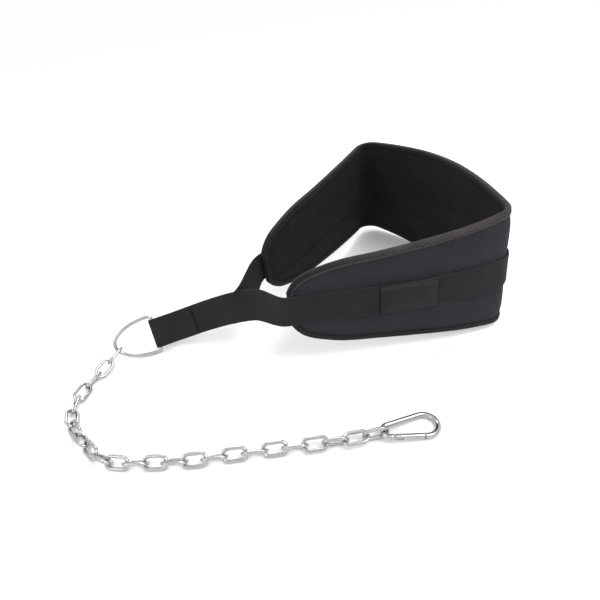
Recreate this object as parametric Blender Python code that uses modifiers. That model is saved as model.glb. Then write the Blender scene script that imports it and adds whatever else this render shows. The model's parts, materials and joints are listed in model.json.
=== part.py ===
"""Padded dip belt: a tapered waist band with a sewn strap, a D ring, a chain and a snap hook.

Metres, +Z up. The belt stands on its lower edge as a closed loop. The near wall of the band runs
along +X, the strap and its ring lie towards -X, and the chain lies on the floor on the -Y side.
"""
import math
from collections import namedtuple

import bmesh
import bpy
from mathutils import Matrix, Vector

# Padded band
BAND_LENGTH = 0.87
BAND_HEIGHT = 0.17
BAND_THICKNESS = 0.009
RIM_THICKNESS = 0.0044
RIM_RISE = 0.007
FLANK_CROWN = 0.0008
GROOVE_DEPTH = 0.0014
GROOVE_HALF_WIDTH = 0.004
NEAR_TAPER_LENGTH = 0.40
FAR_TAPER_LENGTH = 0.48

# Tape sewn over the band's edge
TAPE_WIDTH = 0.008
TAPE_THICKNESS = 0.0011

# Webbing strap
STRAP_WIDTH = 0.04
STRAP_THICKNESS = 0.0022
FLAP_LENGTH = 0.06
LAYER_MERGE = 0.028
FORK_REACH = 0.058
FORK_BEARING = 143
FORK_DROP = 0.18
JOIN_BEFORE_FORK = 0.022
FORK_LEAN_BACK = 27
RING_LEAN_BACK = 30
RING_REACH = 0.20
RING_BEARING = 159
RING_HEADING = 193
RING_SLOPE = 3
LEAVE_PULL = 0.8
FORK_AIM_AT_RING = 0.6
RING_CROWDING = 1.25
JOIN_PULL = 1.1
BEHIND_RING = 0.008

# Label patch on the near wall
PATCH_LENGTH = 0.067
PATCH_START = 0.107
PATCH_THICKNESS = 0.0028
PATCH_BEVEL = 0.0012

# D ring
RING_WIRE = 0.005
RING_DEPTH = 0.061
RING_CORNER = 0.0045
RING_HANG_ANGLE = -17

# Chain
LINK_COUNT = 24
LINK_PITCH = 0.0213
LINK_WIRE = 0.004
LINK_WIDTH = 0.017
LINK_ROLL = 45
LINK_SWAY = 6
SWAY_PACE = 2.3
TWIST_LINKS = 5

# Snap hook
HOOK_LENGTH = 0.066
HOOK_WIDTH = 0.034
HOOK_EYE_WIDTH = 0.022
HOOK_WIRE = 0.006
HOOK_HEADING = 6
EYE_SAG = 0.25
STUB_LENGTH = 0.0025
NOSE_LENGTH = 0.0035
TONGUE_THICKNESS = 0.0022
TONGUE_HEIGHT = 0.0044
PIVOT_FROM_GATE_END = 0.0055
GATE_SLOT_SPARE = 0.0012
GATE_TIP_HEIGHT = 0.0035
RIVET_DIAMETER = 0.0018
RIVET_HEAD = 0.0032
RIVET_HEAD_HEIGHT = 0.0004
RIVET_HEAD_TOP = 0.7

# Clearances
SEAT_GAP = 0.0003
WRAP_GAP = 0.0004
LINK_GAP = 0.0005
SLOT_GAP = 0.0003
ROUNDING = 1e-7

# How finely the solids are divided
LONGEST_STEP = 0.025
LARGEST_TURN = 11
WRAP_STEPS = 7
FREE_STEPS = 9
RING_RUN_STEPS = 12
CURVE_STEPS = 40
LINK_END_STEPS = 5
RING_STEPS = 26
EYE_STEPS = 10
BOW_STEPS = 12

# The band's middle line in plan: each run's share of the band's length and its turn to the left
BandRun = namedtuple("BandRun", "share turn")
START_HEADING = -3
BAND_RUNS = (
    BandRun(0.1240, 3),
    BandRun(0.0930, 4),
    BandRun(0.0725, 13),
    BandRun(0.0290, 71),
    BandRun(0.3380, 42),
    BandRun(0.0435, 105),
    BandRun(0.3000, -8),
)

# The band's height as a share of BAND_HEIGHT, at shares of the taper from either end
OutlineRow = namedtuple("OutlineRow", "along height")
OUTLINE = (
    OutlineRow(0.000, 0.26),
    OutlineRow(0.014, 0.37),
    OutlineRow(0.040, 0.49),
    OutlineRow(0.095, 0.60),
    OutlineRow(0.160, 0.68),
    OutlineRow(0.270, 0.73),
    OutlineRow(0.430, 0.81),
    OutlineRow(0.640, 0.92),
    OutlineRow(0.820, 0.98),
    OutlineRow(1.000, 1.00),
)

# How far the lower edge leans outwards per unit of height, at shares of the band's length
LeanRow = namedtuple("LeanRow", "along lean")
LEANS = (
    LeanRow(0.00, 0.06),
    LeanRow(0.08, 0.00),
    LeanRow(0.25, 0.00),
    LeanRow(0.37, 0.065),
    LeanRow(0.50, 0.04),
    LeanRow(0.62, 0.06),
    LeanRow(0.80, 0.01),
    LeanRow(1.00, 0.00),
)

# The chain's route over the floor, from under the ring to the hook, in plan from the band's near end
CHAIN_ROUTE = (
    (-0.263, 0.019),
    (-0.276, -0.009),
    (-0.278, -0.033),
    (-0.272, -0.057),
    (-0.253, -0.082),
    (-0.228, -0.109),
    (-0.206, -0.121),
    (-0.167, -0.127),
    (-0.124, -0.132),
    (-0.071, -0.133),
    (-0.018, -0.134),
    (0.024, -0.136),
    (0.055, -0.136),
    (0.090, -0.133),
)

UP = Vector((0, 0, 1))
MID_HEIGHT = BAND_HEIGHT / 2
RIM_OUTER = RIM_THICKNESS / 2 + SEAT_GAP + TAPE_THICKNESS
PAD_EDGE_INSET = TAPE_THICKNESS + SEAT_GAP
STRAP_OFFSET = BAND_THICKNESS / 2 + SEAT_GAP + STRAP_THICKNESS / 2
LAYER_PITCH = STRAP_THICKNESS + SEAT_GAP


def plan_direction(degrees):
    """Unit vector in plan at a bearing from +X."""
    angle = math.radians(degrees)
    return Vector((math.cos(angle), math.sin(angle), 0))


def smooth_step(share):
    """Rises from 0 to 1 with level ends."""
    share = min(max(share, 0.0), 1.0)
    return share * share * (3 - 2 * share)


def table_value(rows, share):
    """Smooth value between the rows of a two-column table."""
    share = min(max(share, rows[0][0]), rows[-1][0])
    last = len(rows) - 1
    index = 0
    while index < last - 1 and share > rows[index + 1][0]:
        index += 1

    def slope(row):
        low = rows[max(row - 1, 0)]
        high = rows[min(row + 1, last)]
        return (high[1] - low[1]) / (high[0] - low[0])

    (x0, y0), (x1, y1) = rows[index], rows[index + 1]
    span = x1 - x0
    t = (share - x0) / span
    rise = y0 * (2 * t ** 3 - 3 * t ** 2 + 1) + y1 * (3 * t ** 2 - 2 * t ** 3)
    ends = slope(index) * (t ** 3 - 2 * t ** 2 + t) + slope(index + 1) * (t ** 3 - t ** 2)
    return rise + span * ends


def hermite(start, start_pull, end, end_pull, share):
    """Point on a cubic between two points with given pulls at its ends."""
    t = share
    return (start * (2 * t ** 3 - 3 * t ** 2 + 1) + start_pull * (t ** 3 - 2 * t ** 2 + t)
            + end * (3 * t ** 2 - 2 * t ** 3) + end_pull * (t ** 3 - t ** 2))


def arc_end(point, heading, length, turn):
    """Plan point at the end of an arc of a length that turns the heading."""
    if abs(turn) < 1e-6:
        return point + plan_direction(math.degrees(heading)) * length
    radius = length / turn
    return point + Vector((math.sin(heading + turn) - math.sin(heading),
                           math.cos(heading) - math.cos(heading + turn), 0)) * radius


def band_line(along):
    """Plan point and heading of the band's middle line at a distance from its near end."""
    point = Vector((0, 0, 0))
    heading = math.radians(START_HEADING)
    left = along
    for run in BAND_RUNS:
        length = run.share * BAND_LENGTH
        turn = math.radians(run.turn)
        part = min(left / length, 1.0)
        point = arc_end(point, heading, length * part, turn * part)
        heading += turn * part
        left -= length * part
        if left <= 0:
            break
    return point, heading


def half_height(along):
    """Half the band's height, tape included, at a distance from its near end."""
    share = min(along / NEAR_TAPER_LENGTH, (BAND_LENGTH - along) / FAR_TAPER_LENGTH)
    return table_value(OUTLINE, share) * BAND_HEIGHT / 2


def band_place(along, height, out):
    """Point of the band: its distance along, its height over the middle and its way out of it."""
    point, heading = band_line(along)
    outward = Vector((math.sin(heading), -math.cos(heading), 0))
    lean = table_value(LEANS, along / BAND_LENGTH)
    return point + outward * (out - lean * height) + UP * (MID_HEIGHT + height)


def band_stations():
    """Distances along the band at which its sections stand, closer together where it turns."""
    end_steps = [0.0, TAPE_WIDTH * 0.5, TAPE_WIDTH + TAPE_THICKNESS,
                 TAPE_WIDTH + TAPE_THICKNESS + RIM_RISE, (TAPE_WIDTH + RIM_RISE) * 1.8]
    stations = []
    start = 0.0
    for run in BAND_RUNS:
        length = run.share * BAND_LENGTH
        count = max(math.ceil(length / LONGEST_STEP), math.ceil(abs(run.turn) / LARGEST_TURN))
        stations += [start + length * step / count for step in range(count)]
        start += length
    clear = end_steps[-1] + LONGEST_STEP / 3
    stations = [s for s in stations if clear < s < BAND_LENGTH - clear]
    return end_steps + stations + [BAND_LENGTH - s for s in reversed(end_steps)]


def edge_distance(along, height, edge):
    """Distance from a point of the band, laid flat, to its outline."""
    nearest = min(along, BAND_LENGTH - along)
    for (x0, y0), (x1, y1) in zip(edge, edge[1:]):
        dx = x1 - x0
        dy = y1 - y0
        share = ((along - x0) * dx + (abs(height) - y0) * dy) / (dx * dx + dy * dy)
        share = min(max(share, 0.0), 1.0)
        nearest = min(nearest, math.hypot(along - x0 - dx * share, abs(height) - y0 - dy * share))
    return nearest


def inset_height(along, edge, inset):
    """Height at which the band lies an inset away from its outline, or None in its ends."""
    if edge_distance(along, 0, edge) < inset - ROUNDING:
        return None
    low = 0.0
    high = half_height(along)
    for _ in range(24):
        middle = (low + high) / 2
        if edge_distance(along, middle, edge) < inset - ROUNDING:
            high = middle
        else:
            low = middle
    return low


def pad_rows(along, edge):
    """Heights of the pad's upper rows at a station, from its edge down to beside its middle."""
    top = inset_height(along, edge, PAD_EDGE_INSET)
    covered = TAPE_WIDTH + TAPE_THICKNESS
    rim = inset_height(along, edge, covered)
    full = inset_height(along, edge, covered + RIM_RISE)
    if rim is None:
        rim = top * 0.8
    rim = min(rim, top * 0.92)
    if full is None:
        full = rim * 0.8
    groove = STRAP_WIDTH / 2
    outer_groove = groove + GROOVE_HALF_WIDTH
    if outer_groove > full * 0.9:
        groove *= full * 0.9 / outer_groove
        outer_groove = full * 0.9
    inner_groove = 2 * groove - outer_groove
    flank = (full + outer_groove) / 2
    return {"edge": top, "rim": rim, "full": full, "flank": flank, "outer_groove": outer_groove,
            "groove": groove, "inner_groove": inner_groove}


INNER_ROWS = ("edge", "rim", "full", "flank", "outer_groove", "groove", "inner_groove")
OUTER_ROWS = ("edge", "rim", "full", "groove")


def pad_half_thickness(along, height, row, inner, edge):
    """How far the pad's face stands from its middle surface."""
    covered = TAPE_WIDTH + TAPE_THICKNESS
    puff = smooth_step((edge_distance(along, height, edge) - covered) / RIM_RISE)
    depth = RIM_THICKNESS / 2 + (BAND_THICKNESS - RIM_THICKNESS) / 2 * puff
    if row == "flank":
        depth += FLANK_CROWN * puff
    if inner and row == "groove":
        depth -= GROOVE_DEPTH * puff
    return depth


def outline_edge():
    """The outline of the band laid flat, over its upper half."""
    return [(s, half_height(s)) for s in band_stations()]


def material(name, colour, roughness, metallic=0.0):
    """A Principled material with a colour, a roughness and a metallic value."""
    made = bpy.data.materials.new(name)
    made.use_nodes = True
    shader = made.node_tree.nodes["Principled BSDF"]
    shader.inputs["Base Color"].default_value = (*colour, 1)
    shader.inputs["Roughness"].default_value = roughness
    shader.inputs["Metallic"].default_value = metallic
    return made


def make_collection(name):
    made = bpy.data.collections.new(name)
    bpy.context.scene.collection.children.link(made)
    return made


def add_object(name, data, collection, surface=None, frame=None):
    """Links a new object, gives it its material and hangs it on a frame if it has one."""
    made = bpy.data.objects.new(name, data)
    collection.objects.link(made)
    if surface:
        data.materials.clear()
        data.materials.append(surface)
    made.parent = frame
    return made


def loft(name, sections, closed=False):
    """Mesh through equal loops of points, with flat ends or closed on itself.

    Every quad is split along the same diagonal, so that surfaces that follow each other stay apart.
    """
    shape = bmesh.new()
    loops = [[shape.verts.new(point) for point in section] for section in sections]
    pairs = list(zip(loops, loops[1:]))
    if closed:
        pairs.append((loops[-1], loops[0]))
    for low, high in pairs:
        for index in range(len(low)):
            after = (index + 1) % len(low)
            shape.faces.new((low[index], low[after], high[after]))
            shape.faces.new((low[index], high[after], high[index]))
    if not closed:
        shape.faces.new(reversed(loops[0]))
        shape.faces.new(loops[-1])
    bmesh.ops.recalc_face_normals(shape, faces=shape.faces)
    bmesh.ops.triangulate(shape, faces=[face for face in shape.faces if len(face.verts) > 4])
    mesh = bpy.data.meshes.new(name)
    shape.to_mesh(mesh)
    shape.free()
    mesh.shade_smooth()
    mesh.set_sharp_from_angle(angle=math.radians(40))
    return mesh


def build_pad(collection, surface):
    """The padded band, with two sewn grooves along its inner face."""
    edge = outline_edge()
    sections = []
    for along in band_stations():
        place = min(max(along, PAD_EDGE_INSET), BAND_LENGTH - PAD_EDGE_INSET)
        rows = pad_rows(place, edge)
        section = []
        for inner, names, way in ((True, INNER_ROWS, -1), (False, OUTER_ROWS, 1)):
            heights = [(rows[row], row) for row in names]
            heights += [(-rows[row], row) for row in reversed(names)]
            if inner:
                heights.reverse()
            for height, row in heights:
                depth = pad_half_thickness(place, height, row, inner, edge)
                section.append(band_place(place, height, way * depth))
        sections.append(section)
    return add_object("pad", loft("pad", sections), collection, surface)


def tape_edge():
    """Points of the band's outline laid flat, each with its inward direction, once round."""
    stations = band_stations()
    ends = (-0.5, 0.0, 0.5)
    upper = [(s, half_height(s)) for s in stations]
    lower = [(s, -half_height(s)) for s in reversed(stations)]
    far_end = [(BAND_LENGTH, -share * 2 * half_height(0)) for share in ends]
    near_end = [(0.0, share * 2 * half_height(0)) for share in ends]
    far_end = [point for point in far_end if abs(point[1]) < half_height(0) * 0.9]
    near_end = [point for point in near_end if abs(point[1]) < half_height(0) * 0.9]
    loop = [Vector(point) for point in upper + far_end + lower + near_end]
    rows = []
    for index, point in enumerate(loop):
        before = (point - loop[index - 1]).normalized()
        after = (loop[(index + 1) % len(loop)] - point).normalized()
        along = (before + after).normalized()
        inward = Vector((along.y, -along.x))
        stretch = 1 / max(inward.dot(Vector((after.y, -after.x))), 0.5)
        rows.append((point, inward * stretch))
    return rows


def build_tape(collection, surface):
    """The edge tape: a channel folded over the band's rim all the way round."""
    outer = RIM_OUTER
    inner = RIM_THICKNESS / 2 + SEAT_GAP
    channel = ((outer, TAPE_WIDTH), (outer, TAPE_THICKNESS / 2), (outer / 2, 0), (-outer / 2, 0),
               (-outer, TAPE_THICKNESS / 2), (-outer, TAPE_WIDTH), (-inner, TAPE_WIDTH),
               (-inner, TAPE_THICKNESS), (inner, TAPE_THICKNESS), (inner, TAPE_WIDTH))
    sections = []
    for point, inward in tape_edge():
        section = []
        for out, inset in channel:
            flat = point + inward * inset
            section.append(band_place(flat.x, flat.y, out))
        sections.append(section)
    return add_object("edge_tape", loft("edge_tape", sections, closed=True), collection, surface)


def lean_back(rise, along, degrees):
    """Turns a strap's width direction about its run, so that its top goes away from its near face."""
    lean = math.radians(degrees)
    return rise * math.cos(lean) - rise.cross(along) * math.sin(lean)


def ring_axes():
    """Directions away from the strap, up along the bar, and to the strap's near face."""
    slope = math.radians(RING_SLOPE)
    level = plan_direction(RING_HEADING)
    away = level * math.cos(slope) - UP * math.sin(slope)
    rise = lean_back(level * math.sin(slope) + UP * math.cos(slope), away, RING_LEAN_BACK)
    return away, rise, rise.cross(away)


def ring_outline():
    """Wire centre of the D ring as distances away from its bar and along it, once round."""
    bar = STRAP_WIDTH / 2 + WRAP_GAP
    half = bar + RING_CORNER
    reach = RING_DEPTH - RING_WIRE - RING_CORNER
    points = []
    for step in range(4):
        angle = math.radians(180 - 30 * step)
        points.append((RING_CORNER * (1 + math.cos(angle)), bar + RING_CORNER * math.sin(angle)))
    for step in range(1, RING_STEPS):
        angle = math.radians(90 - 180 * step / RING_STEPS)
        points.append((RING_CORNER + reach * math.cos(angle), half * math.sin(angle)))
    points += [(away, -rise) for away, rise in reversed(points[:4])]
    return points


def ring_bar_centre():
    """Where the ring's bar lies, so that the ring just rests on the floor."""
    away, rise, _ = ring_axes()
    lowest = min(away.z * a + rise.z * b for a, b in ring_outline())
    plan = band_line(0)[0] + plan_direction(RING_BEARING) * RING_REACH
    return plan + UP * (RING_WIRE / 2 - lowest)


def poly_curve(name, points, radius, sides, closed):
    """A round wire or tube along points; its sides are 6, 8, 10 or 12."""
    data = bpy.data.curves.new(name, "CURVE")
    data.dimensions = "3D"
    data.bevel_depth = radius
    data.bevel_resolution = (sides - 4) // 2
    data.use_fill_caps = not closed
    spline = data.splines.new("POLY")
    spline.points.add(len(points) - 1)
    for target, point in zip(spline.points, points):
        target.co = (*point, 1)
    spline.use_cyclic_u = closed
    return data


def build_ring(collection, surface):
    """The D ring, in the plane of the strap's end."""
    away, rise, _ = ring_axes()
    centre = ring_bar_centre()
    points = [away * a + rise * b for a, b in ring_outline()]
    data = poly_curve("d_ring", points, RING_WIRE / 2, 10, True)
    made = add_object("d_ring", data, collection, surface)
    made.location = centre
    return made


def near_axis():
    """Middle of the strap from the band's near end to the ring's bar."""
    start = band_place(0, 0, STRAP_OFFSET)
    leave = plan_direction(math.degrees(band_line(0)[1]) + 180)
    centre = ring_bar_centre()
    away, _, _ = ring_axes()
    fork = band_line(0)[0] + plan_direction(FORK_BEARING) * FORK_REACH
    fork.z = start.z + (centre.z - start.z) * FORK_DROP
    onward = (centre - fork).normalized()
    fork_pull = onward * FORK_AIM_AT_RING + (fork - start).normalized() * (1 - FORK_AIM_AT_RING)
    first = (fork - start).length
    second = (centre - fork).length
    points = []
    for step in range(FREE_STEPS // 2 + 1):
        share = step / (FREE_STEPS // 2 + 1)
        points.append(hermite(start, leave * first * LEAVE_PULL, fork, fork_pull * first, share))
    for step in range(RING_RUN_STEPS + 1):
        share = step / RING_RUN_STEPS
        eased = 1 - (1 - share) ** RING_CROWDING
        points.append(hermite(fork, fork_pull * second, centre, away * second, eased))
    return points


def strap_frames(points, leans):
    """Adds to each point of a strap its width direction and the direction of its near face."""
    frames = []
    for index, point in enumerate(points):
        before = points[max(index - 1, 0)]
        after = points[min(index + 1, len(points) - 1)]
        along = (after - before).normalized()
        level = (UP - along * UP.dot(along)).normalized()
        rise = lean_back(level, along, leans[index])
        frames.append((point, rise, rise.cross(along)))
    return frames


def near_leans(count):
    """How far the near run leans back at each of its points, in degrees."""
    fork = FREE_STEPS // 2 + 1
    end = math.degrees(math.atan(LEANS[0].lean))
    leans = [end + (FORK_LEAN_BACK - end) * step / fork for step in range(fork)]
    rest = count - fork
    leans += [FORK_LEAN_BACK + (RING_LEAN_BACK - FORK_LEAN_BACK) * step / (rest - 1)
              for step in range(rest)]
    return leans


def build_strap(collection, surface):
    """The webbing: a flap, round the ring's bar, along the band's outside and back to the ring."""
    axis = near_axis()
    frames = strap_frames(axis, near_leans(len(axis)))
    away, ring_rise, ring_side = ring_axes()
    centre = ring_bar_centre()
    frames[-1] = (centre, ring_rise, ring_side)
    wrap_radius = RING_WIRE / 2 + WRAP_GAP + STRAP_THICKNESS / 2

    def from_bar(point):
        return (point - centre).length

    def own_shift(point):
        return -wrap_radius * (1 - smooth_step(from_bar(point) / LAYER_MERGE))

    def flap_shift(point):
        spread = 1 - smooth_step(from_bar(point) / LAYER_MERGE)
        return own_shift(point) + LAYER_PITCH + (2 * wrap_radius - LAYER_PITCH) * spread

    ribbon = []
    flap = [frame for frame in frames if from_bar(frame[0]) <= FLAP_LENGTH]
    for point, rise, side in flap[:-1]:
        ribbon.append((point + side * flap_shift(point), rise))
    for step in range(WRAP_STEPS + 1):
        angle = math.pi * step / WRAP_STEPS
        turn = ring_side * math.cos(angle) + away * math.sin(angle)
        ribbon.append((centre + turn * wrap_radius, ring_rise))
    for point, rise, side in reversed(frames[:-1]):
        ribbon.append((point + side * own_shift(point), rise))
    for along in band_stations()[1:]:
        ribbon.append((band_place(along, 0, STRAP_OFFSET), leaning_width(along)))
    ribbon += far_run(frames, centre, own_shift)
    return add_object("strap", loft("strap", ribbon_sections(ribbon)), collection, surface)


def leaning_width(along):
    """Width direction of webbing that lies flat on the band."""
    low = band_place(along, -STRAP_WIDTH / 2, STRAP_OFFSET)
    return (band_place(along, STRAP_WIDTH / 2, STRAP_OFFSET) - low).normalized()


def far_run(frames, centre, own_shift):
    """The webbing from the band's far end to the near run, and behind it to the ring."""
    shared = []
    for point, rise, side in frames:
        reach = (point - centre).length
        fork_reach = (centre - frames[FREE_STEPS // 2 + 1][0]).length
        if BEHIND_RING < reach < fork_reach - JOIN_BEFORE_FORK:
            shared.append((point + side * (own_shift(point) - LAYER_PITCH), rise))
    start = band_place(BAND_LENGTH, 0, STRAP_OFFSET)
    leave = plan_direction(math.degrees(band_line(BAND_LENGTH)[1]))
    join = shared[0][0]
    arrive = (shared[1][0] - join).normalized()
    span = (join - start).length
    free = []
    for step in range(1, FREE_STEPS):
        share = step / FREE_STEPS
        point = hermite(start, leave * span, join, arrive * span * JOIN_PULL, share)
        free.append(point)
    leans = [FORK_LEAN_BACK * step / FREE_STEPS for step in range(FREE_STEPS + 1)]
    run = [(point, rise) for point, rise, _ in strap_frames([start] + free + [join], leans)[1:-1]]
    return run + shared


def ribbon_sections(ribbon):
    """Rectangular sections of webbing along points with width directions."""
    sections = []
    for index, (point, rise) in enumerate(ribbon):
        before = ribbon[max(index - 1, 0)][0]
        after = ribbon[min(index + 1, len(ribbon) - 1)][0]
        side = rise.cross(after - before).normalized()
        wide = rise * STRAP_WIDTH / 2
        deep = side * STRAP_THICKNESS / 2
        sections.append([point - wide + deep, point - wide - deep,
                         point + wide - deep, point + wide + deep])
    return sections


def build_patch(collection, surface):
    """The blank label patch on the strap, with bevelled edges."""
    seat = STRAP_OFFSET + STRAP_THICKNESS / 2 + SEAT_GAP
    face = seat + PATCH_THICKNESS
    half = STRAP_WIDTH / 2
    end = PATCH_START + PATCH_LENGTH
    stops = [s for s in band_stations() if PATCH_START + PATCH_BEVEL * 2 < s < end - PATCH_BEVEL * 2]
    edges = [(PATCH_START, PATCH_BEVEL), (PATCH_START + PATCH_BEVEL, 0)]
    edges += [(s, 0) for s in stops] + [(end - PATCH_BEVEL, 0), (end, PATCH_BEVEL)]
    sections = []
    for along, drop in edges:
        top = face - drop
        inset = half - drop
        sections.append([band_place(along, height, out) for height, out in (
            (-inset, seat), (inset, seat), (inset, top - PATCH_BEVEL),
            (inset - PATCH_BEVEL, top), (PATCH_BEVEL - inset, top), (-inset, top - PATCH_BEVEL))])
    return add_object("label_patch", loft("label_patch", sections), collection, surface)


def ring_hold():
    """Where the first link hangs on the ring, and the ring wire's direction there."""
    away, rise, _ = ring_axes()
    half = STRAP_WIDTH / 2 + WRAP_GAP + RING_CORNER
    reach = RING_DEPTH - RING_WIRE - RING_CORNER
    angle = math.radians(RING_HANG_ANGLE)
    point = away * (RING_CORNER + reach * math.cos(angle)) + rise * half * math.sin(angle)
    wire = rise * half * math.cos(angle) - away * reach * math.sin(angle)
    return ring_bar_centre() + point, wire.normalized()


def rest_height(roll):
    """Height of a link's middle when it lies on the floor, rolled from flat."""
    half = (LINK_WIDTH - LINK_WIRE) / 2
    return half * abs(math.sin(math.radians(roll))) + LINK_WIRE / 2


def chain_curve():
    """The chain's route as a close run of points: down from the ring and along the floor."""
    start, _ = ring_hold()
    floor = [Vector((x, y, rest_height(LINK_ROLL))) for x, y in CHAIN_ROUTE]
    last = floor[-1] + (floor[-1] - floor[-2]).normalized() * LINK_PITCH * 4
    stops = [start] + floor + [last]
    points = []
    for index in range(len(stops) - 1):
        here = stops[index]
        there = stops[index + 1]
        pull = (there - stops[max(index - 1, 0)]) / 2
        push = (stops[min(index + 2, len(stops) - 1)] - here) / 2
        points += [hermite(here, pull, there, push, step / CURVE_STEPS) for step in range(CURVE_STEPS)]
    return points


def chain_joints():
    """Points where neighbouring links meet, a pitch apart along the route."""
    points = chain_curve()
    back = (RING_WIRE - LINK_GAP) / 2 + LINK_GAP
    joints = [points[0] - (points[4] - points[0]).normalized() * back]
    for point in points:
        ahead = point - joints[-1]
        if ahead.length >= LINK_PITCH and len(joints) <= LINK_COUNT:
            joints.append(joints[-1] + ahead.normalized() * LINK_PITCH)
    rolls = link_rolls(joints)
    for index in range(1, len(joints)):
        beside = rolls[index - 1:index + 1]
        joints[index].z = max([joints[index].z] + [rest_height(roll) for roll in beside])
    return joints, rolls


def link_roll_axes(along):
    """The directions that a link's face turns between as it rolls from flat to upright."""
    rise = (UP - along * UP.dot(along)).normalized()
    return rise, rise.cross(along)


def half_turn(degrees):
    """The same link face, as a roll between -90 and 90 degrees."""
    return (degrees + 90) % 180 - 90


def link_rolls(joints):
    """Rolls of the links: they lean left and right in turn, and twist to suit ring and hook."""
    along = (joints[1] - joints[0]).normalized()
    rise, side = link_roll_axes(along)
    _, wire = ring_hold()
    first = math.degrees(math.atan2(wire.dot(side), wire.dot(rise)))
    leans = [LINK_ROLL if index % 2 else -LINK_ROLL for index in range(LINK_COUNT)]
    start_twist = half_turn(first - leans[0])
    end_twist = half_turn(90 - leans[-1])
    rolls = []
    for index, lean in enumerate(leans):
        sway = LINK_SWAY * math.sin(SWAY_PACE * index)
        from_start = max(1 - index / TWIST_LINKS, 0)
        from_end = max(1 - (LINK_COUNT - 1 - index) / TWIST_LINKS, 0)
        calm = 1 - max(from_start, from_end)
        rolls.append(lean + sway * calm + start_twist * from_start + end_twist * from_end)
    return rolls


def link_path():
    """Wire centre of one link, along X, once round."""
    radius = (LINK_WIDTH - LINK_WIRE) / 2
    reach = (LINK_PITCH + LINK_WIRE + LINK_GAP) / 2 - radius
    points = []
    for way in (1, -1):
        for step in range(LINK_END_STEPS + 1):
            angle = math.pi * (step / LINK_END_STEPS - 0.5)
            points.append((way * (reach + radius * math.cos(angle)), way * radius * math.sin(angle), 0))
    return points


def build_chain(collection, surface):
    """The chain's links, each its own piece on the same wire curve."""
    joints, rolls = chain_joints()
    wire = poly_curve("link_wire", link_path(), LINK_WIRE / 2, 6, True)
    wire.materials.append(surface)
    links = []
    for index in range(LINK_COUNT):
        start = joints[index]
        end = joints[index + 1]
        along = (end - start).normalized()
        rise, side = link_roll_axes(along)
        roll = math.radians(rolls[index])
        face = rise * math.cos(roll) + side * math.sin(roll)
        across = face.cross(along)
        made = add_object(f"link_{index + 1:02d}", wire, collection)
        turn = Matrix((along, across, face)).transposed().to_4x4()
        made.matrix_world = Matrix.Translation((start + end) / 2) @ turn
        links.append(made)
    return links


def hook_sizes():
    """Circles and straights of the hook's wire centre, along X from its eye."""
    eye = (HOOK_EYE_WIDTH - HOOK_WIRE) / 2
    bow = (HOOK_WIDTH - HOOK_WIRE) / 2
    spread = HOOK_LENGTH - HOOK_WIRE - eye - bow
    slant = math.asin((bow - eye) / spread)
    return eye, bow, spread, slant


def hook_place():
    """Frame of the hook: X from the eye to the bow, Z out of its face, and its origin in the eye."""
    joints, _ = chain_joints()
    along = (joints[-1] - joints[-2]).normalized()
    overlap = (LINK_WIRE + LINK_GAP) / 2 - (LINK_WIRE + HOOK_WIRE) / 2 - LINK_GAP
    wire = joints[-1] + along * overlap
    wire.z = joints[-1].z - (LINK_WIDTH / 2 - LINK_WIRE - HOOK_WIRE / 2) * EYE_SAG
    eye, _, _, _ = hook_sizes()
    drop = math.asin((wire.z - HOOK_WIRE / 2) / (HOOK_LENGTH - HOOK_WIRE))
    turn = Matrix.Rotation(math.radians(HOOK_HEADING), 4, "Z") @ Matrix.Rotation(drop, 4, "Y")
    return Matrix.Translation(wire) @ turn @ Matrix.Translation((eye, 0, 0))


def gate_line():
    """Start, direction and length of the hook's straight gate side, between its two arcs."""
    eye, _, spread, slant = hook_sizes()
    start = Vector((-eye * math.sin(slant), -eye * math.cos(slant), 0))
    direction = Vector((math.cos(slant), -math.sin(slant), 0))
    return start, direction, spread * math.cos(slant)


def hook_wire_path():
    """Wire centre of the hook from its stub, round the eye, the spine and the bow, to its nose."""
    eye, bow, spread, slant = hook_sizes()
    start, direction, length = gate_line()
    quarter = math.pi / 2
    points = [start + direction * STUB_LENGTH]
    for step in range(EYE_STEPS + 1):
        angle = -quarter - slant - (math.pi - 2 * slant) * step / EYE_STEPS
        points.append(Vector((eye * math.cos(angle), eye * math.sin(angle), 0)))
    for step in range(BOW_STEPS + 1):
        angle = quarter + slant - (math.pi + 2 * slant) * step / BOW_STEPS
        points.append(Vector((spread + bow * math.cos(angle), bow * math.sin(angle), 0)))
    points.append(start + direction * (length - NOSE_LENGTH))
    return points


def solid_from_curve(name, data, collection):
    """Mesh object from a curve, with its caps welded on."""
    holder = bpy.data.objects.new(name + "_curve", data)
    collection.objects.link(holder)
    bpy.context.view_layer.update()
    evaluated = holder.evaluated_get(bpy.context.evaluated_depsgraph_get())
    mesh = bpy.data.meshes.new_from_object(evaluated)
    shape = bmesh.new()
    shape.from_mesh(mesh)
    bmesh.ops.remove_doubles(shape, verts=shape.verts, dist=1e-6)
    bmesh.ops.recalc_face_normals(shape, faces=shape.faces)
    shape.to_mesh(mesh)
    shape.free()
    bpy.data.objects.remove(holder)
    mesh.name = name
    return mesh


def box_tool(name, cutters, frame, centre, size, direction=None):
    """A hidden box that cuts or joins, turned so that its length follows a direction."""
    bpy.ops.mesh.primitive_cube_add(size=1)
    made = bpy.context.active_object
    return place_tool(made, name, cutters, frame, centre, size, direction)


def cylinder_tool(name, cutters, frame, centre, radius, depth):
    """A hidden upright cylinder that cuts or joins."""
    bpy.ops.mesh.primitive_cylinder_add(vertices=12, radius=1, depth=1)
    made = bpy.context.active_object
    return place_tool(made, name, cutters, frame, centre, (radius, radius, depth), None)


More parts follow.
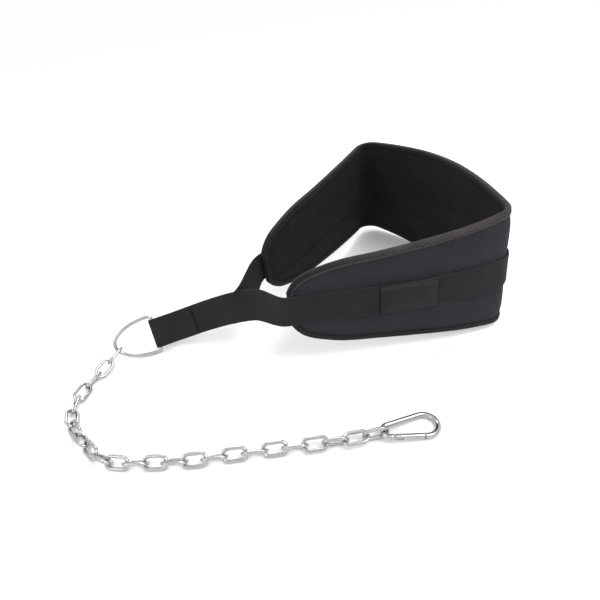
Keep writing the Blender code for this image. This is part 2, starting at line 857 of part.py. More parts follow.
def place_tool(made, name, cutters, frame, centre, size, direction):
    made.name = name
    made.data.transform(Matrix.Diagonal((*size, 1)))
    for owner in list(made.users_collection):
        owner.objects.unlink(made)
    cutters.objects.link(made)
    made.parent = frame
    made.location = centre
    if direction:
        made.rotation_euler.z = math.atan2(direction.y, direction.x)
    made.hide_render = True
    made.display_type = "WIRE"
    return made


def add_boolean(target, tool, operation):
    step = target.modifiers.new(tool.name, "BOOLEAN")
    step.operation = operation
    step.object = tool


def gate_span():
    """Distances along the gate line of the gate's hinge end, its pivot and its nose end."""
    _, _, length = gate_line()
    half = HOOK_WIRE / 2
    pivot_reach = math.hypot(PIVOT_FROM_GATE_END, half)
    hinge_gap = pivot_reach - PIVOT_FROM_GATE_END + SEAT_GAP
    hinge = STUB_LENGTH + hinge_gap
    nose = length - NOSE_LENGTH - 1.5 * SEAT_GAP
    return hinge, hinge + PIVOT_FROM_GATE_END, nose


def build_hook(collection, cutters, steel, frame):
    """The hook's body: bent wire with a hinge tongue on its stub and a slot in its nose."""
    start, direction, length = gate_line()
    _, pivot, _ = gate_span()
    data = poly_curve("hook_body", hook_wire_path(), HOOK_WIRE / 2, 10, False)
    body = add_object("hook_body", solid_from_curve("hook_body", data, collection), collection,
                      steel, frame)
    tongue_start = STUB_LENGTH - TONGUE_HEIGHT
    tongue_end = pivot + TONGUE_HEIGHT / 2
    tongue = box_tool("tongue", cutters, frame, start + direction * (tongue_start + tongue_end) / 2,
                      (tongue_end - tongue_start, TONGUE_HEIGHT, TONGUE_THICKNESS), direction)
    add_boolean(body, tongue, "UNION")
    hole = cylinder_tool("tongue_hole", cutters, frame, start + direction * pivot,
                         RIVET_DIAMETER / 2 + SLOT_GAP, HOOK_WIRE * 2)
    add_boolean(body, hole, "DIFFERENCE")
    slot = box_tool("nose_slot", cutters, frame, start + direction * (length - NOSE_LENGTH),
                    (NOSE_LENGTH, HOOK_WIRE * 2, TONGUE_THICKNESS + 2 * SLOT_GAP), direction)
    add_boolean(body, slot, "DIFFERENCE")
    return body


def build_gate(collection, cutters, steel, frame):
    """The gate: a round bar slotted over the tongue, with a flat tip that enters the nose."""
    start, direction, length = gate_line()
    hinge, pivot, nose = gate_span()
    origin = start + direction * pivot
    bpy.ops.mesh.primitive_cylinder_add(vertices=12, radius=HOOK_WIRE / 2, depth=nose - hinge,
                                        rotation=(0, math.pi / 2, 0))
    gate = bpy.context.active_object
    gate.name = "hook_gate"
    gate.data.transform(gate.matrix_basis)
    gate.matrix_basis = Matrix.Identity(4)
    gate.data.transform(Matrix.Translation(((nose - hinge) / 2 - PIVOT_FROM_GATE_END, 0, 0)))
    for owner in list(gate.users_collection):
        owner.objects.unlink(gate)
    collection.objects.link(gate)
    gate.data.materials.append(steel)
    gate.parent = frame
    gate.location = origin
    gate.rotation_euler.z = math.atan2(direction.y, direction.x)
    slot_end = TONGUE_HEIGHT / 2 + GATE_SLOT_SPARE
    slot = box_tool("gate_slot", cutters, frame, origin + direction * (slot_end - HOOK_WIRE) / 2,
                    (slot_end + HOOK_WIRE, HOOK_WIRE * 2, TONGUE_THICKNESS + 2 * SLOT_GAP), direction)
    add_boolean(gate, slot, "DIFFERENCE")
    tip = box_tool("gate_tip", cutters, frame, start + direction * nose,
                   (NOSE_LENGTH, GATE_TIP_HEIGHT, TONGUE_THICKNESS), direction)
    add_boolean(gate, tip, "UNION")
    hole = cylinder_tool("gate_hole", cutters, frame, origin, RIVET_DIAMETER / 2 + SLOT_GAP / 2,
                         HOOK_WIRE * 2)
    add_boolean(gate, hole, "DIFFERENCE")
    gate.data.shade_smooth()
    gate.data.set_sharp_from_angle(angle=math.radians(40))
    return gate


def build_rivet(collection, steel, frame):
    """The rivet that the gate turns on, with a low head on each side."""
    start, direction, _ = gate_line()
    _, pivot, _ = gate_span()
    face = HOOK_WIRE / 2 + SEAT_GAP / 2
    top = face + RIVET_HEAD_HEIGHT
    half = ((0, top), (RIVET_HEAD / 2 * RIVET_HEAD_TOP, top), (RIVET_HEAD / 2, face),
            (RIVET_DIAMETER / 2, face))
    outline = half + tuple((radius, -height) for radius, height in reversed(half))
    shape = bmesh.new()
    verts = [shape.verts.new((radius, 0, height)) for radius, height in outline]
    for low, high in zip(verts, verts[1:]):
        shape.edges.new((low, high))
    mesh = bpy.data.meshes.new("hook_rivet")
    shape.to_mesh(mesh)
    shape.free()
    rivet = add_object("hook_rivet", mesh, collection, steel, frame)
    rivet.location = start + direction * pivot
    turn = rivet.modifiers.new("turn", "SCREW")
    turn.steps = 12
    turn.render_steps = 12
    turn.use_merge_vertices = True
    turn.merge_threshold = 1e-5
    return rivet


def centre_on_origin(objects, frame):
    """Moves everything so that the belt's box stands centred on the origin."""
    bpy.context.view_layer.update()
    depsgraph = bpy.context.evaluated_depsgraph_get()
    corners = []
    for item in objects:
        mesh = item.evaluated_get(depsgraph).to_mesh()
        corners += [item.matrix_world @ vertex.co for vertex in mesh.vertices]
        item.evaluated_get(depsgraph).to_mesh_clear()
    low = Vector([min(corner[axis] for corner in corners) for axis in range(3)])
    high = Vector([max(corner[axis] for corner in corners) for axis in range(3)])
    shift = Vector((-(low.x + high.x) / 2, -(low.y + high.y) / 2, -low.z))
    for item in objects:
        if item.parent is None:
            item.location += shift
    frame.location += shift
    bpy.context.view_layer.update()


def main():
    for item in list(bpy.data.objects):
        bpy.data.objects.remove(item)
    belt = make_collection("dip_belt")
    cutters = make_collection("cutters")
    fabric = material("band_fabric", (0.030, 0.030, 0.034), 0.85)
    tape = material("edge_tape", (0.045, 0.044, 0.045), 0.8)
    webbing = material("webbing", (0.022, 0.021, 0.022), 0.8)
    leather = material("patch_leather", (0.014, 0.013, 0.013), 0.45)
    zinc = material("zinc_steel", (0.62, 0.62, 0.62), 0.32, 1.0)
    chrome = material("ring_steel", (0.70, 0.70, 0.70), 0.2, 1.0)

    pieces = [
        build_pad(belt, fabric),
        build_tape(belt, tape),
        build_strap(belt, webbing),
        build_patch(belt, leather),
        build_ring(belt, chrome),
    ]
    pieces += build_chain(belt, zinc)
    frame = bpy.data.objects.new("hook_frame", None)
    belt.objects.link(frame)
    frame.matrix_world = hook_place()
    pieces.append(build_hook(belt, cutters, chrome, frame))
    pieces.append(build_gate(belt, cutters, chrome, frame))
    pieces.append(build_rivet(belt, chrome, frame))
    centre_on_origin(pieces, frame)


main()
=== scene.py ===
import json
import math
from collections import namedtuple

import bmesh
import bpy
import numpy as np
from mathutils import Matrix, Vector, noise


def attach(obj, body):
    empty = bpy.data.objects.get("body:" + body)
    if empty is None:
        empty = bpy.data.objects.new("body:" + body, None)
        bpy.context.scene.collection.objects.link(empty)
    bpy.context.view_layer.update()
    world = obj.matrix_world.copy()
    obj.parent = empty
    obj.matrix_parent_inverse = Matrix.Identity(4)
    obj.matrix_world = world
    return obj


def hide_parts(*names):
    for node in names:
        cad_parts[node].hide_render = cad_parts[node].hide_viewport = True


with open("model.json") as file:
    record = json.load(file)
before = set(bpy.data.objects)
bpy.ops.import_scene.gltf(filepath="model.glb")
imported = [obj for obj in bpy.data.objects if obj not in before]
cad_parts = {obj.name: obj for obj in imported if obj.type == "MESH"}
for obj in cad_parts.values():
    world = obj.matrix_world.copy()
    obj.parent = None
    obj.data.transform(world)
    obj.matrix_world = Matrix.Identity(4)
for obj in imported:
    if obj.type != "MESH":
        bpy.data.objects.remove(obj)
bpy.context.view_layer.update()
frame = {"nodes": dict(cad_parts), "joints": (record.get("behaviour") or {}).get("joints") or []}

# Camera: height over the floor, place in the belt's layout, view angles in degrees and lens in millimetres
CAMERA_PLACE = (0.015, -0.448, 0.421)
CAMERA_ELEVATION = 36
CAMERA_ROLL = -8.6
CAMERA_LENS = 28.62

# Padded band
BAND_LENGTH = 0.87
BAND_HEIGHT = 0.17
BAND_THICKNESS = 0.009
RIM_THICKNESS = 0.0044
RIM_RISE = 0.007
GROOVE_DEPTH = 0.0019
GROOVE_HALF_WIDTH = 0.0055
NEAR_TAPER_LENGTH = 0.40
FAR_TAPER_LENGTH = 0.48
START_HEADING = -3

# Tape sewn over the band's edge
TAPE_WIDTH = 0.008
TAPE_THICKNESS = 0.0011

# Webbing
STRAP_WIDTH = 0.04
STRAP_THICKNESS = 0.0022
FLAP_LENGTH = 0.06
LAYER_MERGE = 0.028
FORK_REACH = 0.058
FORK_BEARING = 143
FORK_DROP = 0.18
JOIN_BEFORE_FORK = 0.022
FORK_LEAN_BACK = 27
RING_LEAN_BACK = 30
RING_REACH = 0.20
RING_BEARING = 159
RING_HEADING = 193
RING_SLOPE = 3
LEAVE_PULL = 0.8
FORK_AIM_AT_RING = 0.6
RING_CROWDING = 1.25
JOIN_PULL = 1.1
BEHIND_RING = 0.008

# Label patch
PATCH_LENGTH = 0.067
PATCH_START = 0.107
PATCH_THICKNESS = 0.0028
PATCH_BEVEL = 0.0012
PATCH_ROLL = 0.0026
PATCH_SINK = 0.0006
PATCH_CROWN = 0.0011

# D ring, links and hook
RING_WIRE = 0.005
RING_DEPTH = 0.061
RING_CORNER = 0.0045
LINK_PITCH = 0.0213
LINK_WIRE = 0.004
LINK_WIDTH = 0.017
LINK_GAP = 0.0005
HOOK_LENGTH = 0.066
HOOK_WIDTH = 0.034
HOOK_EYE_WIDTH = 0.022
HOOK_WIRE = 0.006
STUB_LENGTH = 0.0025
NOSE_LENGTH = 0.0035
TONGUE_THICKNESS = 0.0022
TONGUE_HEIGHT = 0.0044
PIVOT_FROM_GATE_END = 0.0055
GATE_SLOT_SPARE = 0.0012
GATE_TIP_HEIGHT = 0.0035
RIVET_DIAMETER = 0.0018
RIVET_HEAD = 0.0032
RIVET_HEAD_HEIGHT = 0.0004

# Clearances
SEAT_GAP = 0.0003
WRAP_GAP = 0.0004
SLOT_GAP = 0.0003

# The band's middle line in plan, its height and its lean, as shares
BandRun = namedtuple("BandRun", "share turn")
BAND_RUNS = (
    BandRun(0.1240, 3),
    BandRun(0.0930, 4),
    BandRun(0.0725, 13),
    BandRun(0.0290, 71),
    BandRun(0.3380, 42),
    BandRun(0.0435, 105),
    BandRun(0.3000, -8),
)
OutlineRow = namedtuple("OutlineRow", "along height")
OUTLINE = (
    OutlineRow(0.000, 0.26),
    OutlineRow(0.014, 0.37),
    OutlineRow(0.040, 0.49),
    OutlineRow(0.095, 0.60),
    OutlineRow(0.160, 0.68),
    OutlineRow(0.270, 0.73),
    OutlineRow(0.430, 0.81),
    OutlineRow(0.640, 0.92),
    OutlineRow(0.820, 0.98),
    OutlineRow(1.000, 1.00),
)
LeanRow = namedtuple("LeanRow", "along lean")
LEANS = (
    LeanRow(0.00, 0.06),
    LeanRow(0.08, 0.00),
    LeanRow(0.25, 0.00),
    LeanRow(0.37, 0.065),
    LeanRow(0.50, 0.04),
    LeanRow(0.62, 0.06),
    LeanRow(0.80, 0.01),
    LeanRow(1.00, 0.00),
)

# Sewing
STITCH_PITCH = 0.0034
STITCH_LENGTH = 0.0025
STITCH_RADIUS = 0.00028
OVERLOCK_PITCH = 0.0030
OVERLOCK_INSETS = (0.0044, 0.0079)
OVERLOCK_RADIUS = 0.00048
WEBBING_SEAM_INSET = 0.0024
FLAP_SEAMS = (0.0040, 0.0085)
END_SEAMS = (0.0040, 0.0085)
SEAM_HALF_WIDTH = 0.0026
SEAM_PRESS = 0.5
BAND_PRESS = 0.0005
PAD_SWELL = 0.0011

# How finely the pieces are divided
COLUMN_STEP = 0.0040
CORNER_STEP = 0.0016
TIGHT_TURN = 50
PAD_INNER_ROWS = (0.0, 0.005, 0.010, 0.0145, 0.0180, 0.0200, 0.0220)
PAD_OUTER_ROWS = 9
TUBE_SIDES = 20
LINK_SIDES = 14

UP = Vector((0, 0, 1))
MID_HEIGHT = BAND_HEIGHT / 2
PAD_EDGE_INSET = TAPE_THICKNESS + SEAT_GAP
RIM_OUTER = RIM_THICKNESS / 2 + SEAT_GAP + TAPE_THICKNESS
STRAP_OFFSET = BAND_THICKNESS / 2 + SEAT_GAP + STRAP_THICKNESS / 2
BAND_PART = 3
LAYER_PITCH = STRAP_THICKNESS + SEAT_GAP


def plan_direction(degrees):
    """Unit vector in plan at a bearing from +X."""
    angle = math.radians(degrees)
    return Vector((math.cos(angle), math.sin(angle), 0))


def smooth_step(share):
    """Rises from 0 to 1 with level ends."""
    share = min(max(share, 0.0), 1.0)
    return share * share * (3 - 2 * share)


def bump(distance, width):
    """A round hill of height 1 at distance 0, that is level at its width."""
    return smooth_step(1 - abs(distance) / width)


def table_value(rows, share):
    """Smooth value between the rows of a two-column table."""
    share = min(max(share, rows[0][0]), rows[-1][0])
    last = len(rows) - 1
    index = 0
    while index < last - 1 and share > rows[index + 1][0]:
        index += 1

    def slope(row):
        low = rows[max(row - 1, 0)]
        high = rows[min(row + 1, last)]
        return (high[1] - low[1]) / (high[0] - low[0])

    (x0, y0), (x1, y1) = rows[index], rows[index + 1]
    span = x1 - x0
    t = (share - x0) / span
    rise = y0 * (2 * t ** 3 - 3 * t ** 2 + 1) + y1 * (3 * t ** 2 - 2 * t ** 3)
    ends = slope(index) * (t ** 3 - 2 * t ** 2 + t) + slope(index + 1) * (t ** 3 - t ** 2)
    return rise + span * ends


def hermite(start, start_pull, end, end_pull, share):
    """Point on a cubic between two points with given pulls at its ends."""
    t = share
    return (start * (2 * t ** 3 - 3 * t ** 2 + 1) + start_pull * (t ** 3 - 2 * t ** 2 + t)
            + end * (3 * t ** 2 - 2 * t ** 3) + end_pull * (t ** 3 - t ** 2))


def arc_end(point, heading, length, turn):
    """Plan point at the end of an arc of a length that turns the heading."""
    if abs(turn) < 1e-6:
        return point + plan_direction(math.degrees(heading)) * length
    radius = length / turn
    return point + Vector((math.sin(heading + turn) - math.sin(heading),
                           math.cos(heading) - math.cos(heading + turn), 0)) * radius


def band_line(along):
    """Plan point and heading of the band's middle line at a distance from its near end."""
    point = Vector((0, 0, 0))
    heading = math.radians(START_HEADING)
    left = along
    for run in BAND_RUNS:
        length = run.share * BAND_LENGTH
        turn = math.radians(run.turn)
        part = min(left / length, 1.0)
        point = arc_end(point, heading, length * part, turn * part)
        heading += turn * part
        left -= length * part
        if left <= 0:
            break
    return point, heading


def half_height(along):
    """Half the band's height, tape included, at a distance from its near end."""
    share = min(along / NEAR_TAPER_LENGTH, (BAND_LENGTH - along) / FAR_TAPER_LENGTH)
    return table_value(OUTLINE, share) * BAND_HEIGHT / 2


def outward(along):
    """Direction out of the band's outer face."""
    _, heading = band_line(along)
    return Vector((math.sin(heading), -math.cos(heading), 0))


def layout_place(along, height, out):
    """Point of the band in the layout that starts at its near end."""
    point, _ = band_line(along)
    lean = table_value(LEANS, along / BAND_LENGTH)
    return point + outward(along) * (out - lean * height) + UP * (MID_HEIGHT + height)


def packed_shift():
    """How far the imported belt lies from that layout, read at one corner of its label patch."""
    seat = STRAP_OFFSET + STRAP_THICKNESS / 2 + SEAT_GAP
    half = STRAP_WIDTH / 2 - PATCH_BEVEL
    side = seat + PATCH_THICKNESS - 2 * PATCH_BEVEL
    outline = [(-half, seat), (half, seat), (half, side), (half - PATCH_BEVEL, side + PATCH_BEVEL),
               (PATCH_BEVEL - half, side + PATCH_BEVEL), (-half, side)]
    own = [layout_place(PATCH_START, height, out) for height, out in outline]
    packed = [vertex.co for vertex in frame["nodes"]["label_patch"].data.vertices]

    def corner(point):
        return round(point.x, 5), point.z

    return min(packed, key=corner) - min(own, key=corner)


SHIFT = packed_shift()


def band_place(along, height, out):
    """Point of the band: its distance along, its height over the middle and its way out of it."""
    return layout_place(along, height, out) + SHIFT


def band_stations(step, corner_step):
    """Distances along the band, closer together at its ends and in its tight corners."""
    stations = [0.0, 0.002, 0.004, 0.006, 0.008, 0.0105, 0.013]
    start = 0.0
    for run in BAND_RUNS:
        length = run.share * BAND_LENGTH
        count = math.ceil(length / (corner_step if abs(run.turn) > TIGHT_TURN else step))
        stations += [start + length * index / count for index in range(count)]
        start += length
    ends = stations[:7]
    middle = [s for s in stations[7:] if ends[-1] + step / 2 < s < BAND_LENGTH - ends[-1] - step / 2]
    return ends + middle + [BAND_LENGTH - s for s in reversed(ends)]


OUTLINE_EDGE = np.array([(s, half_height(s)) for s in band_stations(0.012, 0.012)])


def edge_distance(along, height):
    """Distance from a point of the band, laid flat, to its outline."""
    start = OUTLINE_EDGE[:-1]
    run = OUTLINE_EDGE[1:] - start
    point = np.array((along, abs(height)))
    share = np.clip(((point - start) * run).sum(1) / (run * run).sum(1), 0, 1)
    nearest = np.linalg.norm(point - start - run * share[:, None], axis=1).min()
    return min(nearest, along, BAND_LENGTH - along)


def inset_height(along, inset):
    """Height at which the band lies an inset away from its outline."""
    low = 0.0
    high = half_height(along)
    for _ in range(16):
        middle = (low + high) / 2
        if edge_distance(along, middle) < inset:
            high = middle
        else:
            low = middle
    return low


# Meshes

def make_mesh(name, points, faces, places=None, smooth=True, sharp_angle=60):
    """Object from points and faces, with places on its surface in metres as its UV map."""
    mesh = bpy.data.meshes.new(name)
    mesh.from_pydata([tuple(point) for point in points], [], faces)
    if places is not None:
        layer = mesh.uv_layers.new(name="surface")
        loops = np.zeros(len(mesh.loops), np.int32)
        mesh.loops.foreach_get("vertex_index", loops)
        layer.data.foreach_set("uv", np.array(places, np.float32)[loops].ravel())
    shape = bmesh.new()
    shape.from_mesh(mesh)
    bmesh.ops.recalc_face_normals(shape, faces=shape.faces)
    shape.to_mesh(mesh)
    shape.free()
    if smooth:
        mesh.shade_smooth()
        mesh.set_sharp_from_angle(angle=math.radians(sharp_angle))
    made = bpy.data.objects.new(name, mesh)
    bpy.context.scene.collection.objects.link(made)
    return made


def loop_faces(rings, size, closed, first=0):
    """Quads between equal loops of points, with caps at the ends unless closed."""
    faces = []
    spans = rings if closed else rings - 1
    for ring in range(spans):
        after_ring = (ring + 1) % rings
        for index in range(size):
            after = (index + 1) % size
            faces.append((first + ring * size + index, first + ring * size + after,
                          first + after_ring * size + after, first + after_ring * size + index))
    if not closed:
        faces.append(tuple(first + index for index in reversed(range(size))))
        faces.append(tuple(first + (rings - 1) * size + index for index in range(size)))
    return faces


def loft(name, sections, closed=False, places=None, sharp_angle=60):
    """Object through equal loops of points."""
    size = len(sections[0])
    points = [point for section in sections for point in section]
    faces = loop_faces(len(sections), size, closed)
    return make_mesh(name, points, faces, places, sharp_angle=sharp_angle)


def wire_sections(points, normal, radius_at, sides, closed):
    """Round sections of a wire that lies in one plane."""
    sections = []
    count = len(points)
    for index, point in enumerate(points):
        before = points[index - 1] if closed or index else point
        after = points[(index + 1) % count] if closed or index < count - 1 else point
        across = normal.cross((after - before).normalized()).normalized()
        radius = radius_at(index / count)
        section = []
        for side in range(sides):
            angle = 2 * math.pi * side / sides
            section.append(point + across * radius * math.cos(angle) + normal * radius * math.sin(angle))
        sections.append(section)
    return sections


def wire(name, points, normal, radius_at, sides, closed=True):
    """Round wire along points in one plane; its UV map is distance along and distance round."""
    sections = wire_sections(points, normal, radius_at, sides, closed)
    places = []
    travelled = 0.0
    for index, point in enumerate(points):
        if index:
            travelled += (point - points[index - 1]).length
        around = 2 * math.pi * radius_at(0)
        places += [(travelled, around * side / sides) for side in range(sides)]
    return loft(name, sections, closed, places)


def running_stitches(run):
    """Strokes (start, end, outward direction) laid at the stitch pitch along a run of points."""
    strokes = []
    travelled = 0.0
    due = STITCH_PITCH / 2
    for (here, out), (there, out_after) in zip(run, run[1:]):
        step = (there - here).length
        while step > 0 and due <= travelled + step:
            share = (due - travelled) / step
            centre = here.lerp(there, share)
            half = (there - here).normalized() * STITCH_LENGTH / 2
            strokes.append((centre - half, centre + half, out.lerp(out_after, share).normalized()))
            due += STITCH_PITCH
        travelled += step
    return strokes


def sew(name, strokes, radius, sides=5):
    """Threads that rise out of the cloth, lie on it and dip in again, one for each stroke."""
    points = []
    faces = []
    shares = ((0.0, 0.35, -0.45), (0.08, 0.8, -0.1), (0.3, 1.0, 0.25), (0.7, 1.0, 0.25), (0.92, 0.8, -0.1),
              (1.0, 0.35, -0.45))
    for start, end, out in strokes:
        across = (end - start).normalized().cross(out)
        first = len(points)
        for share, swell, lift in shares:
            middle = start.lerp(end, share) + out * lift * radius
            for side in range(sides):
                angle = 2 * math.pi * side / sides
                points.append(middle + (across * math.cos(angle) + out * math.sin(angle)) * radius * swell)
        faces += loop_faces(len(shares), sides, False, first)
    return make_mesh(name, points, faces)


# Materials

class Surface:
    """A Principled material and short ways to build its nodes."""

    def __init__(self, name, roughness, metallic=0.0, specular=0.5, sheen=0.0):
        self.material = bpy.data.materials.new(name)
        self.material.use_nodes = True
        self.tree = self.material.node_tree
        self.shader = self.tree.nodes["Principled BSDF"]
        self.shader.inputs["Roughness"].default_value = roughness
        self.shader.inputs["Metallic"].default_value = metallic
        self.shader.inputs["Specular IOR Level"].default_value = specular
        self.shader.inputs["Sheen Weight"].default_value = sheen
        self.shader.inputs["Sheen Roughness"].default_value = 0.5

    def node(self, kind, output=0, settings=(), **inputs):
        made = self.tree.nodes.new(kind)
        for key, value in dict(settings).items():
            setattr(made, key, value)
        for key, value in inputs.items():
            socket = made.inputs[int(key[1:])] if key[0] == "i" and key[1:].isdigit() else made.inputs[key]
            self.feed(socket, value)
        return made.outputs[output]

    def feed(self, socket, value):
        if isinstance(value, bpy.types.NodeSocket):
            self.tree.links.new(value, socket)
        else:
            socket.default_value = value

    def math(self, operation, a, b=0.0):
        return self.node("ShaderNodeMath", settings={"operation": operation}, i0=a, i1=b)

    def noise(self, coordinates, scale, detail=3.0, roughness=0.55):
        return self.node("ShaderNodeTexNoise", Vector=coordinates, Scale=scale, Detail=detail, Roughness=roughness)

    def spread(self, value, low, high, to_low=0.0, to_high=1.0):
        made = self.node("ShaderNodeMapRange", i0=value, i1=low, i2=high, i3=to_low, i4=to_high)
        return made

    def blend(self, factor, first, second):
        """Colour between two colours."""
        made = self.tree.nodes.new("ShaderNodeMix")
        made.data_type = "RGBA"
        self.feed(made.inputs[0], factor)
        for index, colour in ((6, first), (7, second)):
            self.feed(made.inputs[index], colour if isinstance(colour, bpy.types.NodeSocket) else (*colour, 1))
        return made.outputs[2]

    def surface_place(self):
        """Distances along and across the piece's surface, in metres."""
        place = self.node("ShaderNodeUVMap", settings={"uv_map": "surface"})
        split = self.tree.nodes.new("ShaderNodeSeparateXYZ")
        self.tree.links.new(place, split.inputs[0])
        return place, split.outputs[0], split.outputs[1]

    def object_place(self):
        return self.node("ShaderNodeTexCoord", output=3)

    def finish(self, colour, height, distance, strength=1.0, roughness=None):
        bump_node = self.tree.nodes.new("ShaderNodeBump")
        bump_node.inputs["Strength"].default_value = strength
        bump_node.inputs["Distance"].default_value = distance
        self.tree.links.new(height, bump_node.inputs["Height"])
        self.tree.links.new(bump_node.outputs[0], self.shader.inputs["Normal"])
        self.feed(self.shader.inputs["Base Color"], colour)
        if roughness is not None:
            self.feed(self.shader.inputs["Roughness"], roughness)
        return self.material


def weave_height(surface, u, v, pitch):
    """Plain weave: threads along and across pass over each other in turn."""
    a = surface.math("SINE", surface.math("MULTIPLY", u, math.pi / pitch))
    b = surface.math("SINE", surface.math("MULTIPLY", v, math.pi / pitch))
    over = surface.math("GREATER_THAN", surface.math("MULTIPLY", a, b), 0.0)
    under = surface.math("SUBTRACT", 1.0, over)
    first = surface.math("MULTIPLY", surface.math("ABSOLUTE", a), over)
    second = surface.math("MULTIPLY", surface.math("ABSOLUTE", b), under)
    return surface.math("ADD", first, second)


def cloth_surface(name, dark, light, pitch, roughness, specular, sheen):
    """Woven cover fabric, with uneven threads, soft blotches and a little lint."""
    surface = Surface(name, roughness, specular=specular, sheen=sheen)
    place, u, v = surface.surface_place()
    weave = weave_height(surface, u, v, pitch)
    threads = surface.noise(place, 900, 2)
    blotches = surface.spread(surface.noise(place, 22, 4), 0.35, 0.68)
    lint = surface.spread(surface.noise(place, 520, 1), 0.70, 0.78)
    tone = surface.math("MULTIPLY", weave, 0.35)
    tone = surface.math("ADD", tone, surface.math("MULTIPLY", threads, 0.35))
    tone = surface.math("ADD", tone, surface.math("MULTIPLY", blotches, 0.30))
    tone = surface.math("ADD", tone, surface.math("MULTIPLY", lint, 0.35))
    colour = surface.blend(tone, dark, light)
    height = surface.math("ADD", weave, surface.math("MULTIPLY", threads, 0.6))
    return surface.finish(colour, height, 0.00022, 0.55)


def webbing_surface(name, dark, light, edge_light):
    """Flat webbing: ribs along its length, a fine chevron of weft, paler rubbed edges."""
    surface = Surface(name, 0.78, specular=0.16, sheen=0.02)
    place, u, v = surface.surface_place()
    ribs = surface.math("ABSOLUTE", surface.math("SINE", surface.math("MULTIPLY", v, math.pi / 0.0021)))
    slant = surface.math("MULTIPLY", surface.math("PINGPONG", v, 0.0021), 1.2)
    weft = surface.math("SINE", surface.math("MULTIPLY", surface.math("ADD", u, slant), 2 * math.pi / 0.0013))
    threads = surface.noise(place, 700, 2)
    blotches = surface.spread(surface.noise(place, 30, 4), 0.35, 0.68)
    edge = surface.spread(surface.math("ABSOLUTE", v), STRAP_WIDTH / 2 - 0.0018, STRAP_WIDTH / 2)
    tone = surface.math("MULTIPLY", ribs, 0.40)
    tone = surface.math("ADD", tone, surface.math("MULTIPLY", weft, 0.10))
    tone = surface.math("ADD", tone, surface.math("MULTIPLY", threads, 0.35))
    tone = surface.math("ADD", tone, surface.math("MULTIPLY", blotches, 0.25))
    colour = surface.blend(tone, dark, light)
    colour = surface.blend(surface.math("MULTIPLY", edge, 0.55), colour, edge_light)
    height = surface.math("ADD", ribs, surface.math("MULTIPLY", weft, 0.35))
    height = surface.math("ADD", height, surface.math("MULTIPLY", threads, 0.4))
    return surface.finish(colour, height, 0.0003, 0.6)


def tape_surface(name, dark, new, light):
    """Binding tape: fine ribs, overlock ridges along its border, and painted light on its upper outer side."""
    surface = Surface(name, 0.8, specular=0.2, sheen=0.05)
    place, u, v = surface.surface_place()
    ribs = surface.math("SINE", surface.math("MULTIPLY", u, 2 * math.pi / 0.0016))
    cross = surface.math("SINE", surface.math("MULTIPLY", v, 2 * math.pi / 0.0019))
    threads = surface.noise(place, 800, 2)
    blotches = surface.spread(surface.noise(place, 40, 4), 0.35, 0.68)
    overlock = surface.math("SINE", surface.math("MULTIPLY", u, 2 * math.pi / OVERLOCK_PITCH))
    border = surface.spread(surface.math("ABSOLUTE", v), TAPE_WIDTH * 0.45, TAPE_WIDTH * 0.6)
    shaded = surface.math("MULTIPLY", border, -0.55)
    overlock = surface.math("MULTIPLY", overlock, border)
    tone = surface.math("ADD", surface.math("MULTIPLY", ribs, 0.10), surface.math("MULTIPLY", threads, 0.45))
    tone = surface.math("ADD", tone, surface.math("MULTIPLY", blotches, 0.30))
    tone = surface.math("ADD", tone, surface.math("MULTIPLY", overlock, 0.12))
    tone = surface.math("ADD", tone, shaded)
    # Painted light: the tape's upper outer side is painted paler, fading in between 3 and 15 cm from the band's near
    # end; new is the tape's colour outside that painted light.
    painted_upper_light = surface.spread(u, 0.03, 0.15)
    painted_upper_light = surface.math("MULTIPLY", painted_upper_light, surface.spread(u, BAND_LENGTH - 0.02, BAND_LENGTH, 1.0, 0.0))
    painted_upper_light = surface.math("MULTIPLY", painted_upper_light, surface.spread(v, -0.0012, 0.0006))
    unlit_tone_colour = surface.blend(tone, dark, new)
    colour = surface.blend(painted_upper_light, unlit_tone_colour, surface.blend(tone, new, light))
    height = surface.math("ADD", ribs, surface.math("MULTIPLY", cross, 0.5))
    height = surface.math("ADD", height, surface.math("MULTIPLY", overlock, 1.5))
    height = surface.math("ADD", height, surface.math("MULTIPLY", threads, 0.6))
    return surface.finish(colour, height, 0.0003, 0.6)


def leather_surface(name, dark, light):
    """Smooth leather with a fine pebble grain, scuffed a little along its edges, and a painted highlight just below
    its upper edge.
    """
    surface = Surface(name, 0.42, specular=0.22)
    place, u, v = surface.surface_place()
    cells = surface.tree.nodes.new("ShaderNodeTexVoronoi")
    cells.feature = "SMOOTH_F1"
    surface.feed(cells.inputs["Vector"], place)
    cells.inputs["Scale"].default_value = 950
    grain = cells.outputs["Distance"]
    wrinkle = surface.noise(place, 160, 4)
    scuff = surface.spread(surface.noise(place, 60, 5), 0.55, 0.75)
    border = surface.spread(surface.math("ABSOLUTE", v), STRAP_WIDTH / 2 - 0.004, STRAP_WIDTH / 2)
    tone = surface.math("ADD", surface.math("MULTIPLY", wrinkle, 0.4), surface.math("MULTIPLY", scuff, 0.35))
    tone = surface.math("ADD", tone, surface.math("MULTIPLY", border, 0.25))
    # Painted highlight: a pale band just below the patch's upper edge, mottled by the wrinkles.
    upper = surface.spread(v, STRAP_WIDTH / 2 - 0.0075, STRAP_WIDTH / 2 - 0.0042)
    upper = surface.math("MULTIPLY", upper, surface.spread(v, STRAP_WIDTH / 2 - 0.0032, STRAP_WIDTH / 2 - 0.0015,
                                                           1.0, 0.0))
    tone = surface.math("ADD", tone, surface.math("MULTIPLY", upper, surface.spread(wrinkle, 0.2, 0.7, 0.5, 1.1)))
    colour = surface.blend(tone, dark, light)
    height = surface.math("ADD", surface.math("MULTIPLY", grain, -0.8), wrinkle)
    rough = surface.spread(surface.math("ADD", wrinkle, scuff), 0.3, 1.4, 0.34, 0.62)
    return surface.finish(colour, height, 0.00012, 0.5, rough)


